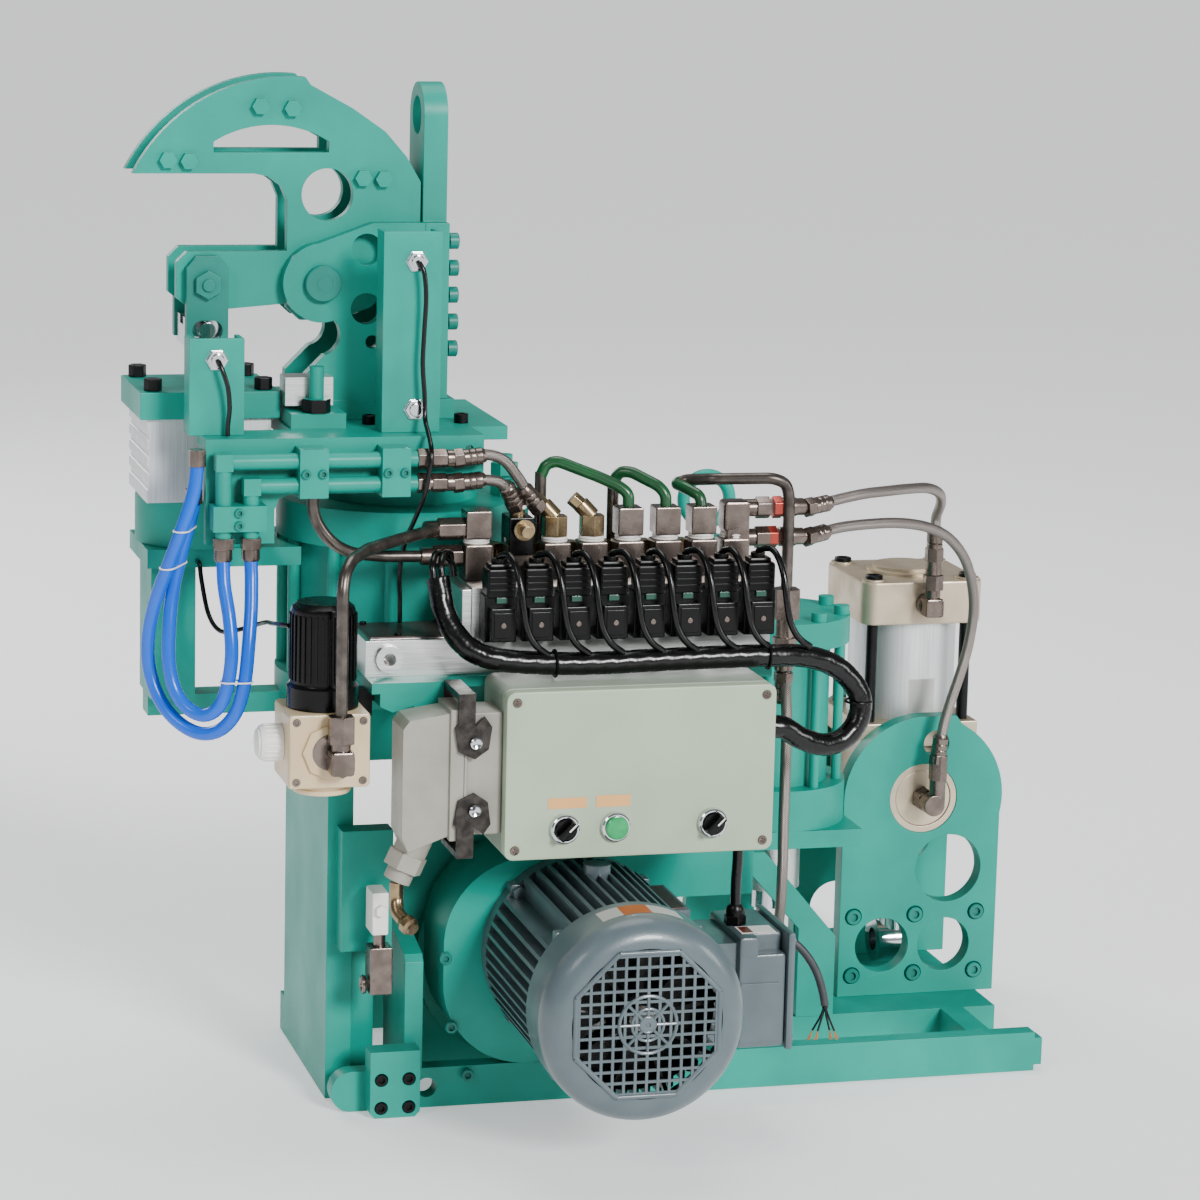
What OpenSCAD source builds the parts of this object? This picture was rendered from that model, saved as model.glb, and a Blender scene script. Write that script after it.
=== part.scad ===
// Power and actuation head of a bundle tying machine.
// +X right, +Y towards the back, +Z up. The origin is on the floor under the middle of the base.

/* [Base] */
// Left end of the base beam
base_left = -290; // [-300:1:-288]
// Right end of the base beam
base_right = 438; // [430:1:450]
// Height of the base beams
beam_h = 40; // [36:1:44]
// Height of the table top
table_top = 381; // [378:1:384]

/* [Motor] */
// Motor axis, X
motor_x = -53; // [-56:1:-50]
// Motor axis, Z
motor_z = 156; // [153:1:159]
// Outside radius of the fan cover
motor_r = 97; // [95:1:99]

/* [Gears] */
// Teeth on the pinion
pinion_teeth = 16; // [14:1:18]
// Teeth on the driven gear
gear_teeth = 40; // [36:1:40]
// Gear module
gear_module = 2; // [2:1:2]

/* [Control box] */
// Width of the control box
box_w = 260; // [258:1:262]
// Height of the control box
box_h = 160; // [158:1:162]
// Depth of the control box with its lid
box_d = 90; // [88:1:92]

/* [Manifold] */
// Number of solenoid valves
valve_count = 8; // [6:1:8]
// Distance between valves
valve_pitch = 36.2; // [35:0.1:37]

/* [Jaw] */
// Jaw pivot, X
jaw_x = -281; // [-283:1:-279]
// Jaw pivot, Z
jaw_z = 785; // [783:1:787]
// Radius of the pivot pin
pivot_r = 13.5; // [12:0.5:14]
// Length of the jaw's lever arm
lever_len = 110; // [108:1:112]
// Thickness of each jaw plate
jaw_t = 12; // [10:1:12]

/* [Cylinders] */
// Radius of the drum housing
drum_r = 115; // [112:1:116]
// Side of the lift cylinder's square head
lift_head_w = 132; // [128:1:134]
// Radius of the lift cylinder's tube
lift_tube_r = 56; // [54:1:58]
// Radius of the stroke cylinder's flanges
stroke_flange_r = 75; // [73:1:76]

/* [Hoses] */
// Diameter of the braided hoses
braid_d = 10.6; // [10:0.2:12]
// Diameter of the blue hoses
blue_d = 13; // [12:0.5:14]
// Diameter of the wrapped valve loom
loom_d = 22; // [20:1:24]
// Diameter of the hard steel tubes
tube_d = 11.6; // [10:0.2:12]

/* [Hidden] */
$fn = 64;

teal = "#4EBAB0";
dark_teal = "#2F8A80";
steel = "#8C7F7A";
cast = "#6F7F86";
alu = "#C9CDCB";
black = "#1C1E20";
champagne = "#C9B9A0";

run = 0.05;              // radial clearance of a running fit
joint = 0.02;            // space left where two solids of one node are bolted together
gap = 0.3;               // space between pieces that pass each other

// Base
beam_y = [-40, -20];
rear_y = [221, 241];
side_x = [-287, -275];
slab_x = [219, 440];
slab_y = [100, 335];
slab_top = 26;
web_y = [57, 69];
skirt_z = table_top - 50;
table_x = [-288, 160];
table_y = [25, 262];

// Motor and gears
fan_front = -307;
cover_back = -240;
case_front = -43;
case_back = 42;
shaft_r = 12;
gear_distance = gear_module * (pinion_teeth + gear_teeth) / 2;
gear_angle = 210;
gear_x = motor_x + gear_distance * cos(gear_angle);
gear_z = motor_z + gear_distance * sin(gear_angle);
case_r = 84;
case_x = -98;
case_z = [162, 124.5];
flange_at = [-86, 125];
flange_r = 104;

// Control box
box_x = [-156, -156 + box_w];
box_y = [-170, -170 + box_d];
box_z = [277, 277 + box_h];
lid_t = 16;
panel_z = box_z[0] + 29.5;
selector_x = [-99, 44];
button_x = -50;
bezel_r = 14.5;

// Connector locking levers
latch_x = -184;
latch_z = [390, 326];

// Manifold
bar_x = [-268, 127];
bar_y = [-70, 16];
bar_z = [434, 468];
block_top = 516;
valve_x0 = -144.3;
fitting_x = [-152, -112, -75.5, -39, -3, 34, 70, 102];
fitting_y = -20;
block_z = [block_top, 550];
upper_z = [555, 582];

// Filter
filter_c = [-317, -112];
filter_w = 76;
filter_z = [348, 418];
filter_port_x = -310;

// Head
drum_c = [-195, 135];
drum_z = [table_top, 536, 573];
plate_z = [640, 653];
cheek_y = [90, 182];
jaw_y = [105, 167];
jaw_mid = (jaw_y[0] + jaw_y[1]) / 2;
lever_x = jaw_x - lever_len;
lever_z = jaw_z - 1;
rod_pin_z = lever_z - 44;
cyl_x = [-458, -324];
cyl_y = [jaw_mid - 63, jaw_mid + 63];
cyl_z = [532, 577, 658, 684];
hose_plate_x = [-411, -146];
hose_plate_y = [-20, -10];
flange_back = 34;

// Lift cylinder
lift_x = 373;
lift_y = 243;
trunnion_z = 236;
trunnion_r = 30;
trunnion_hole_r = 36.6;
plate_y_front = [157, 177];
plate_y_rear = [309, 329];
lift_block_z = [190, 312];
lift_head_z = [416, 461];

// Stroke cylinder
stroke_c = [209, 165];
stroke_z = [224, 266, 410, 438];

// Hose and cable routes, by hand
blue_outer_route = [[-421, -32, 630], [-425, -34, 604], [-436, -34, 570], [-447, -24, 534],
    [-456, -10, 500], [-461, 0, 466], [-460, 2, 434], [-451, -6, 405], [-436, -20, 386],
    [-418, -36, 378], [-401, -50, 384], [-388, -60, 403], [-381, -64, 432], [-377, -60, 464],
    [-373, -50, 496], [-371, -40, 524], [-371, -35, 545]];
blue_inner_route = [[-421, -12, 592], [-425, -8, 570], [-433, -8, 540], [-440, -10, 508],
    [-444, -16, 476], [-445, -20, 444], [-440, -26, 418], [-429, -36, 402], [-415, -48, 398],
    [-403, -58, 409], [-396, -62, 432], [-393, -62, 460], [-394, -54, 490], [-397, -42, 520],
    [-397, -35, 545]];
head_hose_route = [[182, -20, 578], [214, -6, 582], [245, 10, 584], [279, 35, 582],
    [309, 62, 579], [340, 92, 574], [362, 118, 564], [373, 141, 550], [375, 158, 533], [375, 160, 520.6]];
trunnion_hose_route = [[182, -20, 549], [216, -2, 553], [253, 14, 553], [290, 32, 550],
    [325, 52, 542], [355, 70, 528], [380, 88, 504], [396, 104, 474], [404, 116, 442],
    [403, 124, 405], [397, 128, 375], [389, 131, 345], [382, 131, 318], [378, 131, 288]];
left_upper_route = [[-170, -35, 634], [-148, -36, 637], [-130, -34, 631], [-115, -29, 614],
    [-104, -24, 598], [-96, -21, 588]];
left_lower_route = [[-170, -35, 611], [-150, -36, 613], [-134, -34, 610], [-123, -28, 600],
    [-117, -23, 590]];
drop_route = [[155, -30, 436], [156, -34, 405], [157, -39, 370], [157, -40, 335],
    [157, -40, 300], [157, -40, 265], [158, -38, 230], [159, -34, 200], [160, -28, 174],
    [163, -14, 154], [168, 6, 144], [174, 26, 142]];
loom_route = [[-204, -86, 530], [-198, -98, 494], [-180, -112, 468], [-150, -118, 457],
    [-98, -118, 452], [-52, -118, 451], [-7, -118, 452], [55, -118, 453], [110, -118, 453],
    [150, -114, 450], [183, -110, 437], [205, -110, 412], [205, -113, 388], [190, -117, 370],
    [168, -121, 365], [144, -124, 373], [124, -127, 385], [104.4, -127, 385]];
supply_route = [[82, -130, 214], [82, -130, 236], [83, -130, 258], [83, -130, 277]];
tail_route = [[127.6, -110, 172], [138, -110, 172], [148, -111, 168], [160, -113, 156],
    [170, -115, 140], [176, -118, 122], [179, -120, 106]];
left_sensor_route = [[-397, -5.5, 724], [-394, -9, 716], [-389, -10, 700], [-387, -8, 680],
    [-388, -5, 664], [-388, -5, 653.8]];
right_sensor_route = [[-208, -5.5, 815], [-204, -9, 806], [-202, -10, 783], [-203, -9, 750],
    [-204, -9, 720], [-202, -10, 690], [-202, -14, 668], [-202, -30, 656], [-203, -48, 642],
    [-206, -50, 620], [-209, -46, 600], [-213, -30, 578], [-218, -8, 550], [-221, 2, 520],
    [-221, -1, 495], [-221, -2, 470.8]];
filter_cable_route = [[-349, -112, 494], [-355, -100, 493], [-357, -70, 488], [-359, -50, 485],
    [-366, -28, 478], [-380, -10, 470], [-392, 10, 466], [-399, 32, 478], [-402, 54, 506],
    [-402, 66, 520], [-402, 78.6, 520]];

// Helpers
module block(x, y, z) {
    translate([x[0], y[0], z[0]]) cube([x[1] - x[0], y[1] - y[0], z[1] - z[0]]);
}

module along_x(y, z, x, r, sides = 64) {
    translate([x[0], y, z]) rotate([0, 90, 0]) cylinder(h = x[1] - x[0], r = r, $fn = sides);
}

module along_y(x, z, y, r, sides = 64) {
    translate([x, y[0], z]) rotate([-90, 0, 0]) cylinder(h = y[1] - y[0], r = r, $fn = sides);
}

module along_z(x, y, z, r, sides = 64) {
    translate([x, y, z[0]]) cylinder(h = z[1] - z[0], r = r, $fn = sides);
}

module slab_xz(y) {
    translate([0, y[1], 0]) rotate([90, 0, 0]) linear_extrude(y[1] - y[0]) children();
}

module slab_yz(x) {
    translate([x[0], 0, 0]) rotate([90, 0, 90]) linear_extrude(x[1] - x[0]) children();
}

module socket_screw_y(x, z, y, r = 8, head = 8) {
    difference() {
        along_y(x, z, [y - head, y - gap], r);
        along_y(x, z, [y - head - 1, y - head + 4], r * 0.5, 6);
    }
}

module socket_screw_x(y, z, x, r = 7, head = 10) {
    difference() {
        along_x(y, z, [x, x + head], r);
        along_x(y, z, [x + head - 4, x + head + 1], r * 0.5, 6);
    }
}

module hex_nut_z(x, y, z, across, h, bore) {
    difference() {
        along_z(x, y, [z, z + h], across / 1.732, 6);
        along_z(x, y, [z - 1, z + h + 1], bore);
    }
}

// Swept round tube through a list of points
function unit(v) = v / norm(v);
function tangent(p, i) = unit(p[min(i + 1, len(p) - 1)] - p[max(i - 1, 0)]);
function carried(p, n, i = 0) =
    i >= len(p) ? [] :
    let (t = tangent(p, i), m = unit(n - (n * t) * t)) concat([m], carried(p, m, i + 1));
function ring(c, t, n, r, sides) =
    let (b = cross(t, n)) [for (j = [0:sides - 1]) c + r * (cos(360 * j / sides) * n
        + sin(360 * j / sides) * b)];

module swept(path, d, sides = 8) {
    seed = abs(tangent(path, 0)[1]) < 0.8 ? [0, 1, 0] : [1, 0, 0];
    normals = carried(path, seed);
    last = len(path) - 1;
    points = [for (i = [0:last]) each ring(path[i], tangent(path, i), normals[i], d / 2, sides)];
    walls = [for (i = [0:last - 1], j = [0:sides - 1])
        [i * sides + j, i * sides + (j + 1) % sides,
         (i + 1) * sides + (j + 1) % sides, (i + 1) * sides + j]];
    caps = [[for (j = [sides - 1:-1:0]) j], [for (j = [0:sides - 1]) last * sides + j]];
    polyhedron(points, concat([for (w = walls) [w[3], w[2], w[1], w[0]]],
        [for (c = caps) [for (j = [len(c) - 1:-1:0]) c[j]]]), convexity = 6);
}

// Base
module base_frame() {
    post_x = [-287, -262];
    color(teal) {
        difference() {
            union() {
                slab_xz(beam_y) {
                    translate([base_left + 20, 0]) square([base_right - base_left - 28, beam_h]);
                    translate([base_left + 20, beam_h / 2]) circle(r = beam_h / 2);
                }
                block([base_right - 8, base_right], beam_y, [6, beam_h - 6]);
            }
            along_y(-196, beam_h / 2, [beam_y[0] - 1, beam_y[1] + 1], 9.5);
        }
        block([-262, -237], [beam_y[1], rear_y[0]], [0, 25]);
        block([-60, 60], [beam_y[1], rear_y[0]], [0, 12]);
        block([380, 405], [beam_y[1], slab_y[0]], [0, slab_top]);
        block([side_x[0], slab_x[0]], rear_y, [0, beam_h]);
        block(slab_x, slab_y, [0, slab_top]);
        // side plate and front post
        block(side_x, [25, rear_y[0]], [0, skirt_z]);
        block(post_x, [5, 25], [0, skirt_z]);
        block([-278, -228], [-20, 5], [154, 273]);
        block([-263, -237], [20, 40], [25, 150]);
        // web under the table
        difference() {
            block([-200, 30], web_y, [12, skirt_z]);
            along_y(gear_x, gear_z, [web_y[0] - 1, web_y[1] + 1], 30);
        }
        // gusset on the beam
        slab_yz([-219, -201]) polygon([[-40, beam_h], [-40, 146], [-34, 153], [20, 165],
            [57, 165], [57, 12], [20, 12], [-20, beam_h]]);
        // clamp block
        difference() {
            slab_xz([-65, beam_y[0]]) polygon([[-257, 5], [-252, 0], [-213, 0], [-208, 5],
                [-208, 66], [-257, 66]]);
            for (x = [-246, -219], z = [10, 38]) along_y(x, z, [-66, -58], 6.5);
        }
        // stand under the stroke cylinder
        difference() {
            block([134, 284], [90, 240], [206, stroke_z[0]]);
            along_z(stroke_c[0], stroke_c[1], [200, 230], 40);
        }
        block([140, 215], [rear_y[0] + 6, rear_y[1]], [beam_h, 206]);
        slab_xz([98, 110]) polygon([[146, 206], [222, 120], [222, 26], [262, 26], [262, 110],
            [180, 206]]);
    }
}

module table_plate() {
    color(teal) {
        difference() {
            union() {
                block(table_x, table_y, [table_top - 20, table_top]);
                block(table_x, [table_y[0], table_y[0] + 12], [skirt_z, table_top - 20]);
                block(table_x, [table_y[1] - 12, table_y[1]], [skirt_z, table_top - 20]);
                block([table_x[0], table_x[0] + 12], [37, table_y[1] - 12],
                    [skirt_z, table_top - 20]);
                block([table_x[1] - 12, table_x[1]], [37, table_y[1] - 12],
                    [skirt_z, table_top - 20]);
            }
            along_z(drum_c[0], drum_c[1], [table_top - 30, table_top + 1], 24);
            along_z(stroke_c[0], stroke_c[1], [skirt_z - 10, table_top + 1],
                stroke_flange_r + 1);
        }
        // panel behind the motor
        block([-13, 148], [table_y[0], table_y[0] + 8], [180, skirt_z - joint]);
        // post for the eyebolt
        block([106, 132], [136, 184], [table_top + joint, 494]);
        block([106, 152], [136, 184], [494 + joint, 512]);
        // outrigger, column and bracket under the jaw cylinder
        block([-443, table_x[0] - joint], [120, 152], [table_top - 20, table_top]);
        block([-443, -400], [100, 172], [table_top + joint, 514]);
        difference() {
            block([cyl_x[0] + 8, -300], [cyl_y[0] + 6, cyl_y[1] - 6],
                [514 + joint, cyl_z[0] - joint]);
            along_z(drum_c[0], drum_c[1], [510, 540], drum_r + 5);
        }
    }
}

module trunnion_outline() {
    translate([lift_x, trunnion_z]) circle(r = 87);
    translate([lift_x - 87, slab_top]) square([172, trunnion_z - slab_top]);
    polygon([[lift_x, trunnion_z], [lift_x, 323], [406, 323], [452, 260], [458, 254],
        [458, 236]]);
}

module trunnion_plates() {
    lights = [[403, 160, 36], [333, 80, 29], [401, 78, 28.5], [385, 294, 13.7]];
    color(teal) for (y = [plate_y_front, plate_y_rear]) difference() {
        slab_xz(y) trunnion_outline();
        along_y(lift_x, trunnion_z, [y[0] - 1, y[1] + 1], trunnion_hole_r);
        for (h = lights) along_y(h[0], h[1], [y[0] - 1, y[1] + 1], h[2]);
        if (y == plate_y_front)
            for (x = [301, 368.5, 436], z = [48.5, 111.8]) along_y(x, z, [y[0] - 1, y[0] + 6], 9);
    }
    // bearing rings around the trunnions
    color("#9A7B45") for (y = [plate_y_front, plate_y_rear]) difference() {
        along_y(lift_x, trunnion_z, [y[0] + 1, y[1] - 1], trunnion_hole_r - run);
        along_y(lift_x, trunnion_z, [y[0], y[1]], trunnion_r + run);
    }
}

module socket_screws() {
    color(black) {
        for (x = [-246, -219], z = [10, 38]) socket_screw_y(x, z, -58, 6, 8);
        for (x = [301, 368.5, 436], z = [48.5, 111.8])
            socket_screw_y(x, z, plate_y_front[0] + 6, 8, 8);
        for (z = [720, 746, 772, 798, 824]) socket_screw_x(98, z, -156 + gap, 7, 9);
        for (x = [box_x[0] + 10, box_x[1] - 10], z = [box_z[0] + 10, box_z[1] - 10])
            along_y(x, z, [box_y[0] - 1.5, box_y[0] - 0.1], 4.5);
        for (p = [[-174, 81], [-157, 32], [-30, 60]])
            socket_screw_y(p[0], p[1], case_front, 5, 5);
        for (p = [[-150, 60], [-240, 60], [-150, 200]])
            along_z(p[0], p[1], [plate_z[1] + 0.1, plate_z[1] + 9], 7);
    }
}

// Lift cylinder
module lift_cylinder_head() {
    half = lift_head_w / 2;
    z0 = lift_head_z[0];
    z1 = lift_head_z[1];
    port_x = 375;
    color(champagne) difference() {
        union() {
            block([lift_x - half, lift_x + half], [lift_y - half, lift_y + half], [z0, z1]);
            along_z(lift_x, lift_y, [z1, z1 + 8], 34);
        }
        for (sx = [-1, 1], sy = [-1, 1]) {
            along_z(lift_x + sx * (half - 15), lift_y + sy * (half - 15), [z1 - 16, z1 + 1], 12);
            along_z(lift_x + sx * (half - 15), lift_y + sy * (half - 15), [z0 - 1, z0 + 4], 6.2);
        }
    }
    // port elbow with its upright fitting
    color(steel) {
        along_y(port_x, 438, [lift_y - half - 26, lift_y - half], 9);
        along_z(port_x, 160, [438, 456], 10);
        along_z(port_x, 160, [456, 500], 9.5, 6);
        along_z(port_x, 160, [500, 518], 7.5);
    }
}

module lift_cylinder_tube() {
    color(alu) difference() {
        along_z(lift_x, lift_y, [lift_block_z[1], lift_head_z[0]], lift_tube_r);
        along_z(lift_x, lift_y, [lift_block_z[1] - 1, lift_head_z[0] + 1], lift_tube_r - 6);
    }
    color(black) for (sx = [-1, 1], sy = [-1, 1])
        along_z(lift_x + sx * (lift_head_w / 2 - 15), lift_y + sy * (lift_head_w / 2 - 15),
            [lift_block_z[1], lift_head_z[0] + 4], 6);
}

module lift_cylinder_block() {
    half = 56;
    color(champagne) difference() {
        union() {
            block([lift_x - half, lift_x + half], [187, 299], lift_block_z);
            block([lift_x - half - 8, lift_x + half + 8], [lift_y - 66 + gap, lift_y + 66 - gap],
                [lift_block_z[1] - 26, lift_block_z[1]]);
            along_y(lift_x, trunnion_z, [159, 187], trunnion_r);
            along_y(lift_x, trunnion_z, [299, 327], trunnion_r);
        }
        along_z(lift_x, lift_y, [lift_block_z[0] - 1, lift_block_z[1] + 1], 20 + run);
        along_y(lift_x, trunnion_z, [158, 170], 9);
    }
}

module lift_piston_rod() {
    color("#D5D8DA") difference() {
        union() {
            along_z(lift_x, lift_y, [322, 342], lift_tube_r - 6 - run);
            along_z(lift_x, lift_y, [76, 322], 20);
            along_x(lift_y, 62, [lift_x - 20, lift_x + 20], 24);
        }
        along_x(lift_y, 62, [lift_x - 21, lift_x + 21], 12);
    }
}

// Motor
module motor_housing() {
    body_r = 78;
    fin_r = 94;
    y = [cover_back - 8, case_front];
    color(cast) difference() {
        union() {
            along_y(motor_x, motor_z, y, body_r);
            intersection() {
                along_y(motor_x, motor_z, [cover_back, case_front - 22], fin_r);
                union() {
                    for (i = [-5:5]) {
                        block([motor_x - 100, motor_x + 100], [cover_back, case_front],
                            [motor_z + i * 11 - 1.6, motor_z + i * 11 + 1.6]);
                        block([motor_x + i * 11 - 1.6, motor_x + i * 11 + 1.6],
                            [cover_back, case_front], [motor_z - 100, motor_z + 100]);
                    }
                }
            }
            along_y(motor_x, motor_z, [case_front - 18, case_front], 92);
            // lifting boss and name plate pad
            along_z(motor_x, -120, [motor_z + 70, motor_z + 102], 13);
            block([motor_x + 26, motor_x + 66], [-210, -120], [motor_z + 60, motor_z + 78]);
            // pad for the terminal box
            block([motor_x + 70, 72], [-172, -86], [92, 188]);
        }
        along_y(motor_x, motor_z, [cover_back, case_front - 12], 62);
        along_y(motor_x, motor_z, [cover_back - 9, case_front + 1], shaft_r + run);
    }
}

module motor_stator() {
    color("#8A4B2A") difference() {
        along_y(motor_x, motor_z, [-215, -80], 62 - run);
        along_y(motor_x, motor_z, [-216, -79], 45);
    }
}

module motor_rotor() {
    color("#9AA0A4") {
        along_y(motor_x, motor_z, [-210, -85], 44.4);
        along_y(motor_x, motor_z, [-288, -30], shaft_r);
        along_y(motor_x, motor_z, [-30, -8], shaft_r - 2 - run);
    }
}

module cooling_fan() {
    color(black) difference() {
        union() {
            along_y(motor_x, motor_z, [-284, -258], 22);
            along_y(motor_x, motor_z, [-262, -258], 76);
            for (a = [0:40:320]) translate([motor_x, 0, motor_z]) rotate([0, a, 0])
                block([-2, 2], [-284, -260], [18, 76]);
        }
        along_y(motor_x, motor_z, [-285, -257], shaft_r + run);
    }
}

// Half profile of the fan cover: radius against depth from its front face
module cover_profile(r, depth, t) {
    curve = 24;
    outer = [for (a = [90:-15:0]) [r - curve + curve * cos(a), curve - curve * sin(a)]];
    inner = [for (a = [0:15:90]) [r - curve + (curve - t) * cos(a), curve - (curve - t) * sin(a)]];
    polygon(concat([[0, 0]], outer, [[r, depth], [r - t, depth]], inner, [[0, t]]));
}

module fan_cover() {
    depth = cover_back - fan_front;
    pitch = 14;
    hole = 10.4;
    color(cast) difference() {
        union() {
            translate([motor_x, fan_front, motor_z]) rotate([-90, 0, 0]) rotate_extrude($fn = 96)
                cover_profile(motor_r, depth, 3);
            along_y(motor_x, motor_z, [fan_front - 3, fan_front], 72, 8);
        }
        for (i = [-4:4], j = [-4:4]) let (d = norm([i, j]) * pitch)
            if (d < 62 && d > 18)
                block([motor_x + i * pitch - hole / 2, motor_x + i * pitch + hole / 2],
                    [fan_front - 5, fan_front + 4],
                    [motor_z + j * pitch - hole / 2, motor_z + j * pitch + hole / 2]);
    }
}

module terminal_box() {
    color(cast) {
        block([72, 119], [-180, -78], [86, 195]);
        block([119 + 0.2, 127], [-183, -75], [83, 198]);
        along_z(82, -130, [195, 206], 11, 6);
        along_z(82, -130, [206, 214], 8);
    }
}

// Gears
module case_outline(grow = 0) {
    for (z = case_z) translate([case_x, z]) circle(r = case_r + grow);
    translate([case_x - case_r - grow, case_z[1]]) square([2 * (case_r + grow), case_z[0] - case_z[1]]);
}

module gear_case() {
    color(teal) difference() {
        union() {
            slab_xz([case_front, case_back]) case_outline();
            along_y(motor_x, motor_z, [case_front, case_back - 20], 60);
            along_y(flange_at[0], flange_at[1], [case_back, web_y[0]], flange_r);
        }
        slab_xz([case_front + 8, case_back - 8]) case_outline(-8);
        along_y(motor_x, motor_z, [case_front - 1, case_front + 9], shaft_r + run);
        along_y(gear_x, gear_z, [case_back - 9, web_y[0] + 1], shaft_r + run);
    }
}

// Spur gear outline with straight-sided teeth
module gear_outline(teeth, turn) {
    r = gear_module * teeth / 2;
    step = 360 / teeth;
    tip = r + 0.8 * gear_module;
    root = r - 1.1 * gear_module;
    polygon([for (i = [0:teeth - 1], p = [[root, -0.30], [tip, -0.12], [tip, 0.12], [root, 0.30]])
        p[0] * [cos(turn + step * (i + p[1])), sin(turn + step * (i + p[1]))]]);
}

module drive_pinion() {
    color("#B9B2A6") difference() {
        translate([motor_x, -6, motor_z]) rotate([90, 0, 0]) linear_extrude(24)
            gear_outline(pinion_teeth, gear_angle);
        along_y(motor_x, motor_z, [-31, -5], shaft_r - 2);
    }
}

module driven_gear() {
    half_tooth = 180 / gear_teeth;
    color("#B9B2A6") {
        translate([gear_x, -8, gear_z]) rotate([90, 0, 0]) linear_extrude(20)
            gear_outline(gear_teeth, gear_angle + 180 + half_tooth);
        along_y(gear_x, gear_z, [-8, 92], shaft_r);
        along_y(gear_x, gear_z, [-34, -28], shaft_r);
        along_y(gear_x, gear_z, [92, 118], 22);
    }
}

// Control box
module control_box_body() {
    t = 4;
    seam = box_y[0] + lid_t;
    color("#A3ADA5") difference() {
        block(box_x, [seam, box_y[1]], box_z);
        block([box_x[0] + t, box_x[1] - t], [seam - 1, box_y[1] - t], [box_z[0] + t, box_z[1] - t]);
    }
    // socket half of the rectangular connector
    color("#B0AEA6") {
        block([-190, box_x[0]], [-156, -108], [300, 416]);
        block([-193, -190], [-160, -104], [296, 420]);
        for (z = latch_z) {
            along_y(latch_x, z, [-169, -156], 4);
            along_y(latch_x, z, [-108, -100.6], 4);
        }
    }
    // bracket that carries the box
    color(teal) block([-140, 90], [box_y[1], box_y[1] + 8], [300, 424]);
}

module control_box_lid() {
    t = 3;
    color("#BEC6B8") difference() {
        block(box_x, [box_y[0], box_y[0] + lid_t], box_z);
        block([box_x[0] + t, box_x[1] - t], [box_y[0] + t, box_y[0] + lid_t + 1],
            [box_z[0] + t, box_z[1] - t]);
        for (x = concat(selector_x, [button_x]))
            along_y(x, panel_z, [box_y[0] - 1, box_y[0] + t + 1], 9);
    }
    color("#C8CCCC") for (x = concat(selector_x, [button_x])) difference() {
        along_y(x, panel_z, [box_y[0] - 6, box_y[0]], bezel_r);
        along_y(x, panel_z, [box_y[0] - 7, box_y[0] + 1], 11.2);
    }
}

module selector(x, turn) {
    color(black) translate([x, 0, panel_z]) rotate([0, turn, 0]) {
        along_y(0, 0, [box_y[0] - 8, box_y[0] - 2], 11);
        along_y(0, 0, [box_y[0] - 2, box_y[0] + 14], 8);
        block([-3.4, 3.4], [box_y[0] - 18, box_y[0] - 8], [-11, 11]);
    }
}

module selector_left() {
    selector(selector_x[0], 45);
}

module selector_right() {
    selector(selector_x[1], 45);
}

module push_button() {
    color("#19A866") {
        along_y(button_x, panel_z, [box_y[0] - 11, box_y[0] - 4.5], 11);
        along_y(button_x, panel_z, [box_y[0] - 4.5, box_y[0] + 8], 6);
    }
}

// Connector
module connector_hood() {
    tilt = 24;
    color("#B0AEA6") {
        block([-206, -193.2], [-160, -104], [296, 420]);
        slab_xz([-156, -108]) polygon([[-206, 416], [-244, 410], [-250, 402], [-250, 300],
            [-244, 286], [-206, 300]]);
        translate([-232, -132, 292]) rotate([0, tilt, 0]) {
            translate([0, 0, -14]) cylinder(h = 20, r = 16);
            translate([0, 0, -30]) cylinder(h = 16, r = 19, $fn = 6);
            translate([0, 0, -42]) cylinder(h = 12, r = 13);
        }
    }
}

// Locking lever: a plate on each side of the connector, joined by a bar past its end
module latch(z, way) {
    color("#43403E") {
        for (y = [[-165, -160.3], [-103.7, -101]]) difference() {
            union() {
                slab_xz(y) polygon([[-203, z + 14 * way], [-194, z + 24 * way],
                    [-184, z + 15 * way], [-175, z + 24 * way], [-168, z + 14 * way],
                    [-171, z - 7 * way], [-184, z - 16 * way], [-199, z - 9 * way]]);
                block([-200, -184], y, way > 0 ? [z + 10, z + 42] : [z - 42, z - 10]);
            }
            along_y(latch_x, z, [y[0] - 1, y[1] + 1], 4 + run);
        }
        block([-200, -184], [-165, -101], way > 0 ? [z + 40, z + 46] : [z - 46, z - 40]);
    }
}

module latch_upper() {
    latch(latch_z[0], 1);
}

module latch_lower() {
    latch(latch_z[1], -1);
}

// Filter unit
module filter_body() {
    half = filter_w / 2;
    x = filter_c[0];
    y = filter_c[1];
    color("#E8D9C2") {
        difference() {
            block([x - half, x + half], [y - half, y + half], filter_z);
            along_z(x, y, [filter_z[0] + 10, filter_z[1] + 1], 24);
        }
        along_z(x, y, [filter_z[0] - 10, filter_z[0]], 27);
        along_y(x, 383, [y - half - 4, y - half], 20, 8);
    }
}

module filter_cap() {
    x = filter_c[0];
    y = filter_c[1];
    color(black) {
        along_z(x, y, [filter_z[1] + gap, filter_z[1] + 22], 33);
        along_z(x, y, [filter_z[1] + 22, 512], 30);
        along_z(x, y, [512, 516], 27);
        along_z(x, y, [filter_z[0] + 14, filter_z[1] + gap], 20);
    }
}

module filter_side_knob() {
    x = filter_c[0] - filter_w / 2;
    color("#E4E2DA") {
        along_x(filter_c[1], 385, [x - 21, x - gap], 17);
        along_x(filter_c[1], 385, [x - 24, x - 21], 13);
    }
}

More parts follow.
